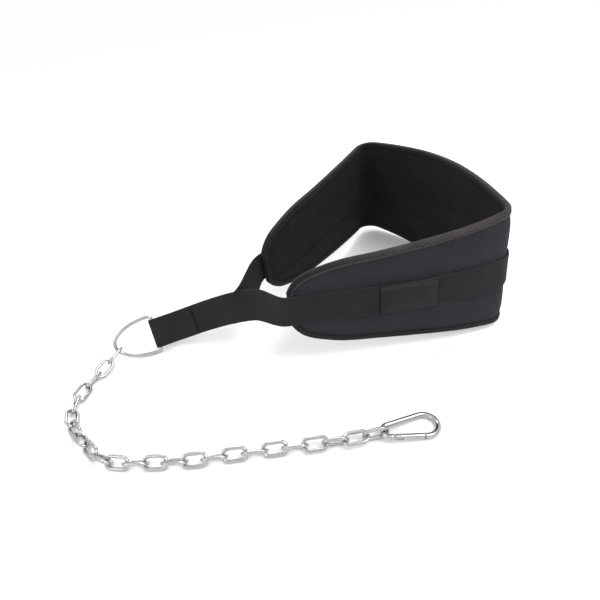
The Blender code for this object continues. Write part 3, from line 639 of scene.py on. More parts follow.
def thread_surface(name, dark, light, painted_upper_light=None):
    """Sewing thread, twisted and slightly shiny; given a third colour, it gets painted light, paler towards the band's
    upper edge.
    """
    surface = Surface(name, 0.55, specular=0.3)
    place = surface.object_place()
    twist = surface.noise(place, 1800, 2)
    colour = surface.blend(twist, dark, light)
    if painted_upper_light:
        # Painted light: threads higher over the floor are painted paler.
        split = surface.tree.nodes.new("ShaderNodeSeparateXYZ")
        surface.feed(split.inputs[0], place)
        painted_light_by_height = surface.spread(split.outputs[2], BAND_HEIGHT * 0.55, BAND_HEIGHT * 0.8)
        colour = surface.blend(painted_light_by_height, colour, surface.blend(twist, light, painted_upper_light))
    return surface.finish(colour, twist, 0.00008, 0.5)


def steel_surface(name, dark, light, rough_low, rough_high, grain):
    """Plated steel: cloudy plating, fine handling marks along the wire, small dull specks."""
    surface = Surface(name, rough_low, metallic=1.0)
    place, u, v = surface.surface_place()
    world = surface.object_place()
    stretched = surface.node("ShaderNodeMapping", i0=place, i3=(0.12, 1.0, 1.0))
    lines = surface.noise(stretched, 2600, 3)
    clouds = surface.noise(world, 130, 4)
    specks = surface.spread(surface.noise(world, 900, 2), 0.62, 0.74)
    tone = surface.math("ADD", surface.math("MULTIPLY", clouds, 0.75), surface.math("MULTIPLY", lines, 0.35))
    tone = surface.math("SUBTRACT", tone, surface.math("MULTIPLY", specks, 0.35))
    colour = surface.blend(tone, dark, light)
    rough = surface.spread(surface.math("ADD", clouds, specks), 0.35, 1.3, rough_low, rough_high)
    height = surface.math("ADD", surface.math("MULTIPLY", lines, grain), surface.math("MULTIPLY", clouds, 1.0))
    return surface.finish(colour, height, 0.00006, 0.5, rough)


def dress(piece, surface, slot, body, *nodes):
    """Gives a finished piece its material and body, and hides the CAD nodes it stands for; the slot is not used."""
    piece.data.materials.clear()
    piece.data.materials.append(surface)
    if nodes:
        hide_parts(*nodes)
    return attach(piece, body)


# Padded band

def pad_half_rows(along):
    """Heights of the pad's upper rows at a station, from the middle up to its edge."""
    top = inset_height(along, PAD_EDGE_INSET)
    last = PAD_INNER_ROWS[-1]
    shrink = min(1.0, top * 0.88 / last)
    rows = [height * shrink for height in PAD_INNER_ROWS]
    start = rows[-1]
    return rows + [start + (top - start) * step / PAD_OUTER_ROWS for step in range(1, PAD_OUTER_ROWS + 1)]


def pad_depth(along, height, slack):
    """Half the pad's thickness; slack is what it lacks before it is filled."""
    inside = edge_distance(along, height) - TAPE_WIDTH - TAPE_THICKNESS
    puff = smooth_step(inside / RIM_RISE)
    return RIM_THICKNESS / 2 + ((BAND_THICKNESS - RIM_THICKNESS) / 2 - slack) * puff


def fill_with_cloth(piece, sewn, frames, pressure, slack, farthest):
    """Blows the piece up with a short cloth simulation, and keeps the shape that it reaches."""
    group = piece.vertex_groups.new(name="sewn")
    group.add(sewn, 1.0, "REPLACE")
    cloth = piece.modifiers.new("fill", "CLOTH")
    settings = cloth.settings
    settings.quality = 5
    settings.mass = 0.15
    settings.use_pressure = True
    settings.uniform_pressure_force = pressure
    settings.effector_weights.gravity = 0
    settings.vertex_group_mass = "sewn"
    settings.shrink_min = -slack
    settings.bending_stiffness = 0.15
    cloth.collision_settings.use_collision = False
    cloth.point_cache.frame_start = 1
    cloth.point_cache.frame_end = frames
    scene = bpy.context.scene
    rest = vertex_places(piece.data)
    for step in range(1, frames + 1):
        scene.frame_set(step)
    evaluated = piece.evaluated_get(bpy.context.evaluated_depsgraph_get())
    filled = vertex_places(evaluated.data)
    piece.modifiers.remove(cloth)
    piece.vertex_groups.clear()
    scene.frame_set(1)
    move = filled - rest
    reach = np.linalg.norm(move, axis=1, keepdims=True)
    move *= np.minimum(1.0, farthest / np.maximum(reach, 1e-9))
    piece.data.vertices.foreach_set("co", (rest + move).astype(np.float32).ravel())
    piece.data.update()


def vertex_places(mesh):
    places = np.zeros(len(mesh.vertices) * 3, np.float32)
    mesh.vertices.foreach_get("co", places)
    return places.reshape(-1, 3).astype(float)


def corner_run(index):
    """Start and length of one of the band's runs."""
    start = sum(run.share for run in BAND_RUNS[:index]) * BAND_LENGTH
    return start, BAND_RUNS[index].share * BAND_LENGTH


def pleats(along, height):
    """How far the inner face stands out in the upright folds of the two tight corners."""
    depth = 0.0
    for index, folds, reach in ((5, 6, 0.0016), (3, 4, 0.0009)):
        start, length = corner_run(index)
        share = (along - start) / length
        if -0.15 < share < 1.15:
            wander = 0.10 * noise.noise(Vector((height * 22, index * 7.0, 0.3)))
            wave = abs(math.sin(math.pi * folds * (share + wander)))
            depth += reach * (wave - 0.55) * smooth_step(min(share + 0.15, 1.15 - share) / 0.3)
    return depth


def pad_relief(along, height, inner):
    """Small forms of the sewn band: puckers along its seams, sewn grooves and soft dents."""
    distance = edge_distance(along, height) - TAPE_WIDTH
    phase = 2 * math.pi * (along + 0.35 * height) / 0.0085
    wander = 2.2 * noise.noise(Vector((along * 40, height * 30, 1.7)))
    pucker = 0.00028 * math.exp(-max(distance, 0.0) / 0.007) * math.sin(phase + wander)
    dents = 0.0007 * noise.noise(Vector((along * 17, height * 22, 4.1 if inner else 9.6)))
    relief = pucker + dents * smooth_step(distance / 0.02)
    from_groove = abs(height) - STRAP_WIDTH / 2
    if not inner:
        relief += PAD_SWELL * smooth_step((from_groove - 0.0012) / 0.0045) * smooth_step(distance / 0.016)
    else:
        relief -= (GROOVE_DEPTH + 0.0002) * bump(from_groove, GROOVE_HALF_WIDTH)
        relief += 0.00022 * math.exp(-abs(from_groove) / 0.005) * math.sin(phase * 1.15 + wander)
        relief += pleats(along, height)
    return relief * smooth_step(distance / 0.003)


def build_pad(outer_surface, inner_surface):
    """The padded band, filled by simulation, then sewn and puckered."""
    stations = band_stations(COLUMN_STEP, CORNER_STEP)
    slack = 0.0012
    facts = []
    points = []
    for station in stations:
        along = min(max(station, PAD_EDGE_INSET), BAND_LENGTH - PAD_EDGE_INSET)
        upper = pad_half_rows(along)
        heights = [-height for height in reversed(upper[1:])] + upper
        for inner, column in ((True, heights), (False, heights[::-1])):
            for height in column:
                depth = pad_depth(along, height, slack)
                points.append(band_place(along, height, -depth if inner else depth))
                facts.append((along, height, inner))
    size = len(points) // len(stations)
    faces = loop_faces(len(stations), size, False)
    piece = make_mesh("pad_cover", points, faces, [(along, height) for along, height, _ in facts])
    distances = [edge_distance(along, height) for along, height, _ in facts]
    sewn = [index for index, (along, height, _) in enumerate(facts)
            if distances[index] < TAPE_WIDTH + 0.001 or abs(abs(height) - STRAP_WIDTH / 2) < 0.0003]
    fill_with_cloth(piece, sewn, 20, 4, 0.012, 0.0032)
    places = vertex_places(piece.data)
    for index, (along, height, inner) in enumerate(facts):
        out = outward(along) * (-1 if inner else 1)
        middle = band_place(along, height, 0)
        reach = (Vector(places[index]) - middle).dot(out)
        wanted = reach
        wanted += pad_relief(along, height, inner)
        if not inner and abs(height) < STRAP_WIDTH / 2 + 0.001:
            wanted = pad_depth(along, height, 0) - 0.0001
        if distances[index] < TAPE_WIDTH:
            wanted = min(wanted, RIM_THICKNESS / 2)
        places[index] += np.array(out * (wanted - reach))
    piece.data.vertices.foreach_set("co", places.astype(np.float32).ravel())
    piece.data.update()
    finer = piece.modifiers.new("finer", "SUBSURF")
    finer.levels = 1
    finer.render_levels = 1
    piece.data.materials.append(outer_surface)
    piece.data.materials.append(inner_surface)
    inner_flags = [inner for _, _, inner in facts]
    for face in piece.data.polygons:
        if all(inner_flags[index] for index in face.vertices):
            face.material_index = 1
    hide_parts("pad")
    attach(piece, "root")
    return piece


def seam_run(height, out, start, end, step=0.004):
    """Run of (point, outward direction) along the band at one height, on one of its faces."""
    count = math.ceil((end - start) / step)
    run = []
    for index in range(count + 1):
        along = start + (end - start) * index / count
        side = outward(along) * (1 if out > 0 else -1)
        run.append((band_place(along, height, out), side))
    return run


def build_groove_stitches(surface):
    """Threads in the two grooves of the inner face."""
    depth = BAND_THICKNESS / 2 - GROOVE_DEPTH
    strokes = []
    for side in (-1, 1):
        strokes += running_stitches(seam_run(side * STRAP_WIDTH / 2, -depth, 0.02, BAND_LENGTH - 0.02))
    return dress(sew("groove_stitches", strokes, STITCH_RADIUS), surface, "band_fabric", "root")


# Edge tape

def outline_loop():
    """Points of the band's outline laid flat, each with its inward direction, once round."""
    stations = [s for s in band_stations(0.005, 0.003)]
    end_half = half_height(0)
    end_steps = [(index / 6 - 0.5) * 2 * end_half for index in range(1, 6)]
    loop = [Vector((s, half_height(s))) for s in stations]
    loop += [Vector((BAND_LENGTH, -step)) for step in end_steps]
    loop += [Vector((s, -half_height(s))) for s in reversed(stations)]
    loop += [Vector((0.0, step)) for step in end_steps]
    rows = []
    for index, point in enumerate(loop):
        before = (point - loop[index - 1]).normalized()
        after = (loop[(index + 1) % len(loop)] - point).normalized()
        along = (before + after).normalized()
        inward = Vector((along.y, -along.x))
        stretch = 1 / max(inward.dot(Vector((after.y, -after.x))), 0.5)
        rows.append((point, inward * stretch))
    return rows


def tape_profile():
    """Section of the folded tape as (out of the middle surface, in from the outline)."""
    inner = RIM_THICKNESS / 2 + SEAT_GAP
    outer = RIM_OUTER
    profile = [(outer * 0.90, TAPE_WIDTH), (outer, TAPE_WIDTH - 0.0006), (outer * 1.03, TAPE_WIDTH * 0.55)]
    for step in range(9):
        angle = math.pi * step / 8
        profile.append((outer * math.cos(angle), TAPE_WIDTH * 0.22 * (1 - math.sin(angle)) + 0.0001))
    profile += [(-outer * 1.03, TAPE_WIDTH * 0.55), (-outer, TAPE_WIDTH - 0.0006), (-outer * 0.90, TAPE_WIDTH),
                (-inner, TAPE_WIDTH), (-inner, TAPE_THICKNESS), (inner, TAPE_THICKNESS), (inner, TAPE_WIDTH)]
    return profile


def build_tape(surface):
    """The binding tape, a little uneven along its edge and drawn in at each stitch."""
    profile = tape_profile()
    sections = []
    places = []
    travelled = 0.0
    rows = outline_loop()
    for index, (point, inward) in enumerate(rows):
        if index:
            travelled += (point - rows[index - 1][0]).length
        wave = 0.0003 * noise.noise(Vector((travelled * 70, 0.0, 2.0)))
        swell = 1 + 0.05 * noise.noise(Vector((travelled * 120, 5.0, 0.0)))
        section = []
        for out, inset in profile:
            edge = max(inset - TAPE_WIDTH * 0.6, 0) / (TAPE_WIDTH * 0.4)
            flat = point + inward * (inset + wave * edge)
            section.append(band_place(min(max(flat.x, 0), BAND_LENGTH), flat.y, out * swell))
            places.append((travelled, inset if out > 0 else -inset))
        sections.append(section)
    piece = loft("edge_binding", sections, True, places, sharp_angle=50)
    return dress(piece, surface, "edge_tape", "root", "edge_tape")


def build_overlock(name, surface, side):
    """Short threads over the tape's inner border, on one face of the band."""
    rows = outline_loop()
    rows.append(rows[0])
    strokes = []
    travelled = 0.0
    due = OVERLOCK_PITCH / 2
    for (here, inward), (there, inward_after) in zip(rows, rows[1:]):
        step = (there - here).length
        while step > 0 and due <= travelled + step:
            share = (due - travelled) / step
            foot = here.lerp(there, share)
            inside = inward.lerp(inward_after, share)
            slant = (there - here).normalized() * OVERLOCK_PITCH * 0.3
            ends = []
            for inset, way, lift in ((OVERLOCK_INSETS[0], -1, 0.0), (OVERLOCK_INSETS[1], 1, -0.00005)):
                flat = foot + inside * inset + slant * way
                ends.append(band_place(min(max(flat.x, 0), BAND_LENGTH), flat.y, (RIM_OUTER + lift) * side))
            strokes.append((ends[0], ends[1], outward(foot.x) * side))
            due += OVERLOCK_PITCH
        travelled += step
    return dress(sew(name, strokes, OVERLOCK_RADIUS), surface, "edge_tape", "root")


# Webbing

def lean_back(rise, along, degrees):
    """Turns a strap's width direction about its run, so that its top goes away from its near face."""
    lean = math.radians(degrees)
    return rise * math.cos(lean) - rise.cross(along) * math.sin(lean)


def ring_axes():
    """Directions away from the strap, up along the bar, and to the strap's near face."""
    slope = math.radians(RING_SLOPE)
    level = plan_direction(RING_HEADING)
    away = level * math.cos(slope) - UP * math.sin(slope)
    rise = lean_back(level * math.sin(slope) + UP * math.cos(slope), away, RING_LEAN_BACK)
    return away, rise, rise.cross(away)


def ring_outline(corner_steps=3, bow_steps=26):
    """Wire centre of the D ring as distances away from its bar and along it, once round."""
    bar = STRAP_WIDTH / 2 + WRAP_GAP
    half = bar + RING_CORNER
    reach = RING_DEPTH - RING_WIRE - RING_CORNER
    corner = []
    for step in range(corner_steps + 1):
        angle = math.pi - math.pi / 2 * step / corner_steps
        corner.append((RING_CORNER * (1 + math.cos(angle)), bar + RING_CORNER * math.sin(angle)))
    points = list(corner)
    for step in range(1, bow_steps):
        angle = math.pi / 2 - math.pi * step / bow_steps
        points.append((RING_CORNER + reach * math.cos(angle), half * math.sin(angle)))
    return points + [(away, -rise) for away, rise in reversed(corner)]


def ring_bar_centre():
    """Where the ring's bar lies, so that the ring just rests on the floor."""
    away, rise, _ = ring_axes()
    lowest = min(away.z * a + rise.z * b for a, b in ring_outline())
    plan = band_line(0)[0] + plan_direction(RING_BEARING) * RING_REACH
    return plan + UP * (RING_WIRE / 2 - lowest) + SHIFT


def near_axis(first_steps, second_steps):
    """Middle of the strap from the band's near end to the ring's bar, and how far it leans back."""
    start = band_place(0, 0, STRAP_OFFSET)
    leave = plan_direction(math.degrees(band_line(0)[1]) + 180)
    centre = ring_bar_centre()
    away, _, _ = ring_axes()
    fork = band_line(0)[0] + plan_direction(FORK_BEARING) * FORK_REACH + SHIFT
    fork.z = start.z + (centre.z - start.z) * FORK_DROP
    onward = (centre - fork).normalized()
    fork_pull = onward * FORK_AIM_AT_RING + (fork - start).normalized() * (1 - FORK_AIM_AT_RING)
    first = (fork - start).length
    second = (centre - fork).length
    end_lean = math.degrees(math.atan(LEANS[0].lean))
    points = []
    leans = []
    for step in range(first_steps):
        share = step / first_steps
        points.append(hermite(start, leave * first * LEAVE_PULL, fork, fork_pull * first, share))
        leans.append(end_lean + (FORK_LEAN_BACK - end_lean) * share)
    for step in range(second_steps + 1):
        share = step / second_steps
        eased = 1 - (1 - share) ** RING_CROWDING
        points.append(hermite(fork, fork_pull * second, centre, away * second, eased))
        leans.append(FORK_LEAN_BACK + (RING_LEAN_BACK - FORK_LEAN_BACK) * share)
    return points, leans, fork


def strap_frames(points, leans):
    """Adds to each point of a strap its width direction and the direction of its near face."""
    frames = []
    for index, point in enumerate(points):
        before = points[max(index - 1, 0)]
        after = points[min(index + 1, len(points) - 1)]
        along = (after - before).normalized()
        level = (UP - along * UP.dot(along)).normalized()
        rise = lean_back(level, along, leans[index])
        frames.append((point, rise, rise.cross(along)))
    return frames


def leaning_width(along):
    """Width direction of webbing that lies flat on the band."""
    low = band_place(along, -STRAP_WIDTH / 2, STRAP_OFFSET)
    return (band_place(along, STRAP_WIDTH / 2, STRAP_OFFSET) - low).normalized()


def strap_route():
    """The webbing's middle line with its width directions: flap, ring, near run, band and far run."""
    points, leans, fork = near_axis(14, 36)
    frames = strap_frames(points, leans)
    away, ring_rise, ring_side = ring_axes()
    centre = ring_bar_centre()
    frames[-1] = (centre, ring_rise, ring_side)
    wrap_radius = RING_WIRE / 2 + WRAP_GAP + STRAP_THICKNESS / 2

    def own_shift(point):
        return -wrap_radius * (1 - smooth_step((point - centre).length / LAYER_MERGE))

    def flap_shift(point):
        spread = 1 - smooth_step((point - centre).length / LAYER_MERGE)
        return own_shift(point) + LAYER_PITCH + (2 * wrap_radius - LAYER_PITCH) * spread

    flap = [(p + side * flap_shift(p), rise) for p, rise, side in frames[:-1]
            if (p - centre).length <= FLAP_LENGTH]
    wrap = []
    for step in range(15):
        angle = math.pi * step / 14
        turn = ring_side * math.cos(angle) + away * math.sin(angle)
        wrap.append((centre + turn * wrap_radius, ring_rise))
    near = [(p + side * own_shift(p), rise) for p, rise, side in reversed(frames[:-1])]
    band = [(band_place(s, 0, STRAP_OFFSET), leaning_width(s))
            for s in band_stations(0.005, 0.0025)[1:]]
    shared = []
    for point, rise, side in frames:
        if BEHIND_RING < (point - centre).length < (centre - fork).length - JOIN_BEFORE_FORK:
            shared.append((point + side * (own_shift(point) - LAYER_PITCH), rise))
    start = band_place(BAND_LENGTH, 0, STRAP_OFFSET)
    leave = plan_direction(math.degrees(band_line(BAND_LENGTH)[1]))
    join = shared[0][0]
    arrive = (shared[1][0] - join).normalized()
    span = (join - start).length
    steps = 24
    free = [hermite(start, leave * span, join, arrive * span * JOIN_PULL, step / steps)
            for step in range(1, steps)]
    far_leans = [FORK_LEAN_BACK * step / steps for step in range(steps + 1)]
    far = [(point, rise) for point, rise, _ in strap_frames([start] + free + [join], far_leans)[1:-1]]
    return flap, wrap, near, band, far + shared


def webbing_profile():
    """Section of the webbing as (share across its width, out of its middle), with soft edges."""
    half = STRAP_THICKNESS / 2
    widths = (0.0, 0.25, 0.5, 0.75, 0.92)
    face = [(w, half) for w in (-0.92, -0.75, -0.5, -0.25)] + [(w, half) for w in widths]
    edge = [(0.985, half * 0.72), (1.0, 0.0), (0.985, -half * 0.72)]
    back = [(w, -half) for w, _ in reversed(face)]
    far_edge = [(-w, -d) for w, d in edge]
    return face + edge + back + far_edge


def finer_route(route, step):
    """The route with points no further apart than a step."""
    finer = []
    for (here, rise, flat), (there, rise_after, flat_after) in zip(route, route[1:]):
        count = max(math.ceil((there - here).length / step), 1)
        for index in range(count):
            share = index / count
            finer.append((here.lerp(there, share), rise.lerp(rise_after, share).normalized(),
                          flat + (flat_after - flat) * share))
    return finer + [route[-1]]


def seam_places():
    """Points of the webbing's middle line where it is sewn across."""
    flap, _, _, _, _ = strap_route()
    places = [point_along(flap, inset)[0] for inset in FLAP_SEAMS]
    for inset in END_SEAMS:
        places += [band_place(along, 0, STRAP_OFFSET) for along in (inset, BAND_LENGTH - inset)]
    for along in (PATCH_START - PATCH_SINK, PATCH_START + PATCH_LENGTH + PATCH_SINK):
        places.append(band_place(along, 0, STRAP_OFFSET))
    return places


def point_along(route, distance):
    """Point, width direction and run direction at a distance along a route."""
    travelled = 0.0
    for (here, rise), (there, _) in zip(route, route[1:]):
        step = (there - here).length
        if distance <= travelled + step:
            return here.lerp(there, (distance - travelled) / step), rise, (there - here).normalized()
        travelled += step
    return route[-1][0], route[-1][1], (route[-1][0] - route[-2][0]).normalized()


def build_webbing(surface):
    """The webbing in one length, with softened edges, and pressed in where it is sewn across."""
    route = []
    for number, part in enumerate(strap_route()):
        for index, (point, rise) in enumerate(part):
            from_end = min(index, len(part) - 1 - index) / 3
            route.append((point, rise, smooth_step(from_end) if number == BAND_PART else 0.0))
    route = finer_route(route, 0.0016)
    seams = seam_places()
    profile = webbing_profile()
    sections = []
    places = []
    travelled = 0.0
    for index, (point, rise, flat) in enumerate(route):
        before = route[max(index - 1, 0)][0]
        after = route[min(index + 1, len(route) - 1)][0]
        if index:
            travelled += (point - before).length
        side = rise.cross(after - before).normalized()
        pressed = max(bump((point - seam).length, SEAM_HALF_WIDTH) for seam in seams)
        wave = 1 + 0.05 * noise.noise(Vector((travelled * 45, 0.0, 3.0)))
        section = []
        for share, out in profile:
            edge_wave = 0.0002 * noise.noise(Vector((travelled * 90, share * 3, 0)))
            wide = share * (STRAP_WIDTH / 2 + edge_wave)
            depth = out * (0.96 + 0.04 * math.cos(share * 9)) * min(wave, 1.0)
            if out > 0:
                depth -= max(SEAM_PRESS * pressed * out, BAND_PRESS * flat * out / STRAP_THICKNESS * 2)
            section.append(point + rise * wide - side * depth)
            places.append((travelled, share * STRAP_WIDTH / 2))
        sections.append(section)
    piece = loft("strap_webbing", sections, False, places, sharp_angle=75)
    return dress(piece, surface, "webbing", "root", "strap")


def cross_run(point, rise, side):
    """Run of (point, outward direction) across the webbing's width."""
    half = rise * (STRAP_WIDTH / 2 - WEBBING_SEAM_INSET)
    lift = side * STRAP_THICKNESS / 2 * (1 - SEAM_PRESS)
    return [(point - half + lift, side), (point + half + lift, side)]


def build_webbing_stitches(surface):
    """Threads along both edges of the webbing on the band, across its two ends there, and across its flap."""
    lift = STRAP_OFFSET + STRAP_THICKNESS / 2 - BAND_PRESS
    half = STRAP_WIDTH / 2 - WEBBING_SEAM_INSET
    runs = []
    for way in (-1, 1):
        runs.append(seam_run(way * half, lift, END_SEAMS[0], PATCH_START - 0.001))
        runs.append(seam_run(way * half, lift, PATCH_START + PATCH_LENGTH + 0.001, BAND_LENGTH - END_SEAMS[0]))
    for inset in END_SEAMS:
        for along in (inset, BAND_LENGTH - inset):
            runs.append(cross_run(band_place(along, 0, STRAP_OFFSET), leaning_width(along), outward(along)))
    flap = strap_route()[0]
    for inset in FLAP_SEAMS:
        point, rise, onward = point_along(flap, inset)
        runs.append(cross_run(point, rise, rise.cross(-onward).normalized()))
    strokes = [stroke for run in runs for stroke in running_stitches(run)]
    return dress(sew("webbing_stitches", strokes, STITCH_RADIUS), surface, "webbing", "root")


# Label patch

def build_patch(surface):
    """The blank patch: a slightly padded leather pad with rounded edges and a pressed border."""
    columns = 44
    rows = 28
    seat = STRAP_OFFSET + STRAP_THICKNESS / 2 + SEAT_GAP
    points = []
    places = []
    for column in range(columns + 1):
        u = 0.5 - 0.5 * math.cos(math.pi * column / columns)
        for row in range(rows + 1):
            v = -math.cos(math.pi * row / rows)
            along = u * PATCH_LENGTH
            height = v * STRAP_WIDTH / 2
            inside = min(along, PATCH_LENGTH - along, STRAP_WIDTH / 2 - abs(height))
            rim = min(inside / PATCH_ROLL, 1.0)
            rise = (PATCH_THICKNESS - PATCH_CROWN / 2) * math.sqrt(max(1 - (1 - rim) ** 2, 0.0))
            rise += PATCH_CROWN * smooth_step((inside - PATCH_ROLL) / 0.012)
            rise -= 0.00035 * bump(inside - PATCH_ROLL - 0.0006, 0.0010)
            rise += 0.00025 * noise.noise(Vector((along * 45, height * 60, 8.0))) * rim
            points.append(band_place(PATCH_START + along, height, seat + max(rise, 0.00005)))
            places.append((along, height))
    top = len(points)
    for column in range(columns + 1):
        u = 0.5 - 0.5 * math.cos(math.pi * column / columns)
        for row in range(rows + 1):
            height = -math.cos(math.pi * row / rows) * STRAP_WIDTH / 2
            points.append(band_place(PATCH_START + u * PATCH_LENGTH, height, seat - BAND_PRESS))
            places.append((u * PATCH_LENGTH, height))
    faces = []
    wide = rows + 1
    for column in range(columns):
        for row in range(rows):
            first = column * wide + row
            quad = (first, first + 1, first + wide + 1, first + wide)
            faces.append(quad)
            faces.append(tuple(top + index for index in reversed(quad)))
    border = [column * wide for column in range(columns + 1)]
    border += [columns * wide + row for row in range(1, wide)]
    border += [column * wide + rows for column in reversed(range(columns))]
    border += [row for row in reversed(range(1, rows))]
    for here, there in zip(border, border[1:] + border[:1]):
        faces.append((here, there, top + there, top + here))
    piece = make_mesh("patch_leather", points, faces, places, sharp_angle=80)
    return dress(piece, surface, "patch_leather", "root", "label_patch")


# Ring and chain

def build_ring(surface):
    """The D ring, with its bar filled in between the ends of its outline."""
    away, rise, normal = ring_axes()
    centre = ring_bar_centre()
    points = [centre + away * a + rise * b for a, b in ring_outline(7, 72)]
    bar_steps = 12
    first = points[0]
    last = points[-1]
    points += [last.lerp(first, step / bar_steps) for step in range(1, bar_steps)]
    piece = wire("ring_wire", points, normal, lambda share: RING_WIRE / 2, TUBE_SIDES)
    return dress(piece, surface, "ring_steel", "root", "d_ring")


def node_axes(name):
    """Middle of a CAD node and its long, middle and short directions."""
    places = vertex_places(frame["nodes"][name].data)
    low, high = places.min(0), places.max(0)
    middle = (low + high) / 2
    _, axes = np.linalg.eigh(np.cov((np.unique(places.round(6), axis=0) - middle).T))
    return Vector(middle), Vector(axes[:, 2]), Vector(axes[:, 1])


def link_points(middle, along, across):
    """Wire centre of a link: two half circles joined by straights."""
    radius = (LINK_WIDTH - LINK_WIRE) / 2
    reach = (LINK_PITCH + LINK_WIRE + LINK_GAP) / 2 - radius
    points = []
    for way in (1, -1):
        for step in range(17):
            angle = math.pi * (step / 16 - 0.5)
            points.append(middle + along * way * (reach + radius * math.cos(angle))
                          + across * way * radius * math.sin(angle))
        for step in range(1, 8):
            share = step / 8
            points.append(middle + along * way * reach * (1 - 2 * share) + across * way * radius)
    return points


def build_links(surface):
    """The chain's links, each with a small butt weld in one of its straights."""
    weld = 21 / 48

    def radius_at(share):
        return LINK_WIRE / 2 * (1 + 0.10 * bump(share - weld, 0.035) - 0.03 * bump(share - weld, 0.008))

    names = sorted(name for name in frame["nodes"] if name.startswith("link_"))
    for index, name in enumerate(names):
        middle, along, across = node_axes(name)
        if index % 2:
            across = -across
        normal = along.cross(across).normalized()
        piece = wire("chain_" + name, link_points(middle, along, across), normal, radius_at, LINK_SIDES)
        dress(piece, surface, "chain_steel", "root", name)


# Snap hook

def hook_sizes():
    """Circles and straights of the hook's wire centre, along X from its eye."""
    eye = (HOOK_EYE_WIDTH - HOOK_WIRE) / 2
    bow = (HOOK_WIDTH - HOOK_WIRE) / 2
    spread = HOOK_LENGTH - HOOK_WIRE - eye - bow
    slant = math.asin((bow - eye) / spread)
    return eye, bow, spread, slant


def gate_line():
    """Start, direction and length of the hook's straight gate side, between its two arcs."""
    eye, _, spread, slant = hook_sizes()
    start = Vector((-eye * math.sin(slant), -eye * math.cos(slant), 0))
    direction = Vector((math.cos(slant), -math.sin(slant), 0))
    return start, direction, spread * math.cos(slant)


def gate_span():
    """Distances along the gate line of the gate's hinge end, its pivot and its nose end."""
    _, _, length = gate_line()
    pivot_reach = math.hypot(PIVOT_FROM_GATE_END, HOOK_WIRE / 2)
    hinge = STUB_LENGTH + pivot_reach - PIVOT_FROM_GATE_END + SEAT_GAP
    return hinge, hinge + PIVOT_FROM_GATE_END, length - NOSE_LENGTH - 1.5 * SEAT_GAP


def hook_place():
    """Frame of the hook, from the gate's joint and the gate itself."""
    joint = next(joint for joint in frame["joints"] if joint["name"] == "gate_hinge")
    pivot = Vector(joint["pos_m"])
    out = Vector(joint["axis"]).normalized()
    gate_middle, _, _ = node_axes("hook_gate")
    toward = gate_middle - pivot
    toward = (toward - out * toward.dot(out)).normalized()
    start, direction, _ = gate_line()
    _, pivot_along, _ = gate_span()
    across = out.cross(toward)
    slant = math.atan2(direction.y, direction.x)
    x_axis = toward * math.cos(slant) - across * math.sin(slant)
    turn = Matrix((x_axis, out.cross(x_axis), out)).transposed().to_4x4()
    return Matrix.Translation(pivot) @ turn @ Matrix.Translation(-(start + direction * pivot_along))


def hook_wire_path():
    """Wire centre of the hook from its stub, round the eye, the spine and the bow, to its nose."""
    eye, bow, spread, slant = hook_sizes()
    start, direction, length = gate_line()
    quarter = math.pi / 2
    points = [start + direction * STUB_LENGTH]
    for step in range(29):
        angle = -quarter - slant - (math.pi - 2 * slant) * step / 28
        points.append(Vector((eye * math.cos(angle), eye * math.sin(angle), 0)))
    spine_end = Vector((spread + bow * math.cos(quarter + slant), bow * math.sin(quarter + slant), 0))
    points += [points[-1].lerp(spine_end, step / 8) for step in range(1, 8)]
    for step in range(41):
        angle = quarter + slant - (math.pi + 2 * slant) * step / 40
        points.append(Vector((spread + bow * math.cos(angle), bow * math.sin(angle), 0)))
    points.append(start + direction * (length - NOSE_LENGTH))
    return points


def tool(made, centre, size, direction=None):
    """A primitive brought to its size and place for a Boolean."""
    made.data.transform(Matrix.Diagonal((*size, 1)))
    turn = Matrix.Rotation(math.atan2(direction.y, direction.x), 4, "Z") if direction else Matrix.Identity(4)
    made.data.transform(Matrix.Translation(centre) @ turn)
    return made


def box_tool(centre, size, direction):
    bpy.ops.mesh.primitive_cube_add(size=1, location=(0, 0, 0))
    return tool(bpy.context.active_object, centre, size, direction)


def hole_tool(centre, radius):
    bpy.ops.mesh.primitive_cylinder_add(vertices=24, radius=1, depth=1, location=(0, 0, 0))
    return tool(bpy.context.active_object, centre, (radius, radius, HOOK_WIRE * 2))


def combine(piece, steps, bevel):
    """Applies Booleans and a fine bevel, and removes the tools."""
    for operation, other in steps:
        change = piece.modifiers.new("change", "BOOLEAN")
        change.operation = operation
        change.object = other
    soft = piece.modifiers.new("soft", "BEVEL")
    soft.width = bevel
    soft.segments = 2
    soft.limit_method = "ANGLE"
    soft.angle_limit = math.radians(40)
    evaluated = piece.evaluated_get(bpy.context.evaluated_depsgraph_get())
    mesh = bpy.data.meshes.new_from_object(evaluated)
    piece.modifiers.clear()
    piece.data = mesh
    for _, other in steps:
        bpy.data.objects.remove(other)
    mesh.shade_smooth()
    mesh.set_sharp_from_angle(angle=math.radians(35))
    return piece


def build_hook(surface):
    """The hook's body, with its hinge tongue and slotted nose."""
    start, direction, length = gate_line()
    _, pivot, _ = gate_span()
    body = wire("hook_wire", hook_wire_path(), UP, lambda share: HOOK_WIRE / 2, TUBE_SIDES, closed=False)
    tongue_start = STUB_LENGTH - TONGUE_HEIGHT
    tongue_end = pivot + TONGUE_HEIGHT / 2
    tongue = box_tool(start + direction * (tongue_start + tongue_end) / 2,
                      (tongue_end - tongue_start, TONGUE_HEIGHT, TONGUE_THICKNESS), direction)
    hole = hole_tool(start + direction * pivot, RIVET_DIAMETER / 2 + SLOT_GAP)
    slot = box_tool(start + direction * (length - NOSE_LENGTH),
                    (NOSE_LENGTH, HOOK_WIRE * 2, TONGUE_THICKNESS + 2 * SLOT_GAP), direction)
    combine(body, (("UNION", tongue), ("DIFFERENCE", hole), ("DIFFERENCE", slot)), 0.0002)
    body.data.transform(hook_place())
    return dress(body, surface, "hook_steel", "root", "hook_body")


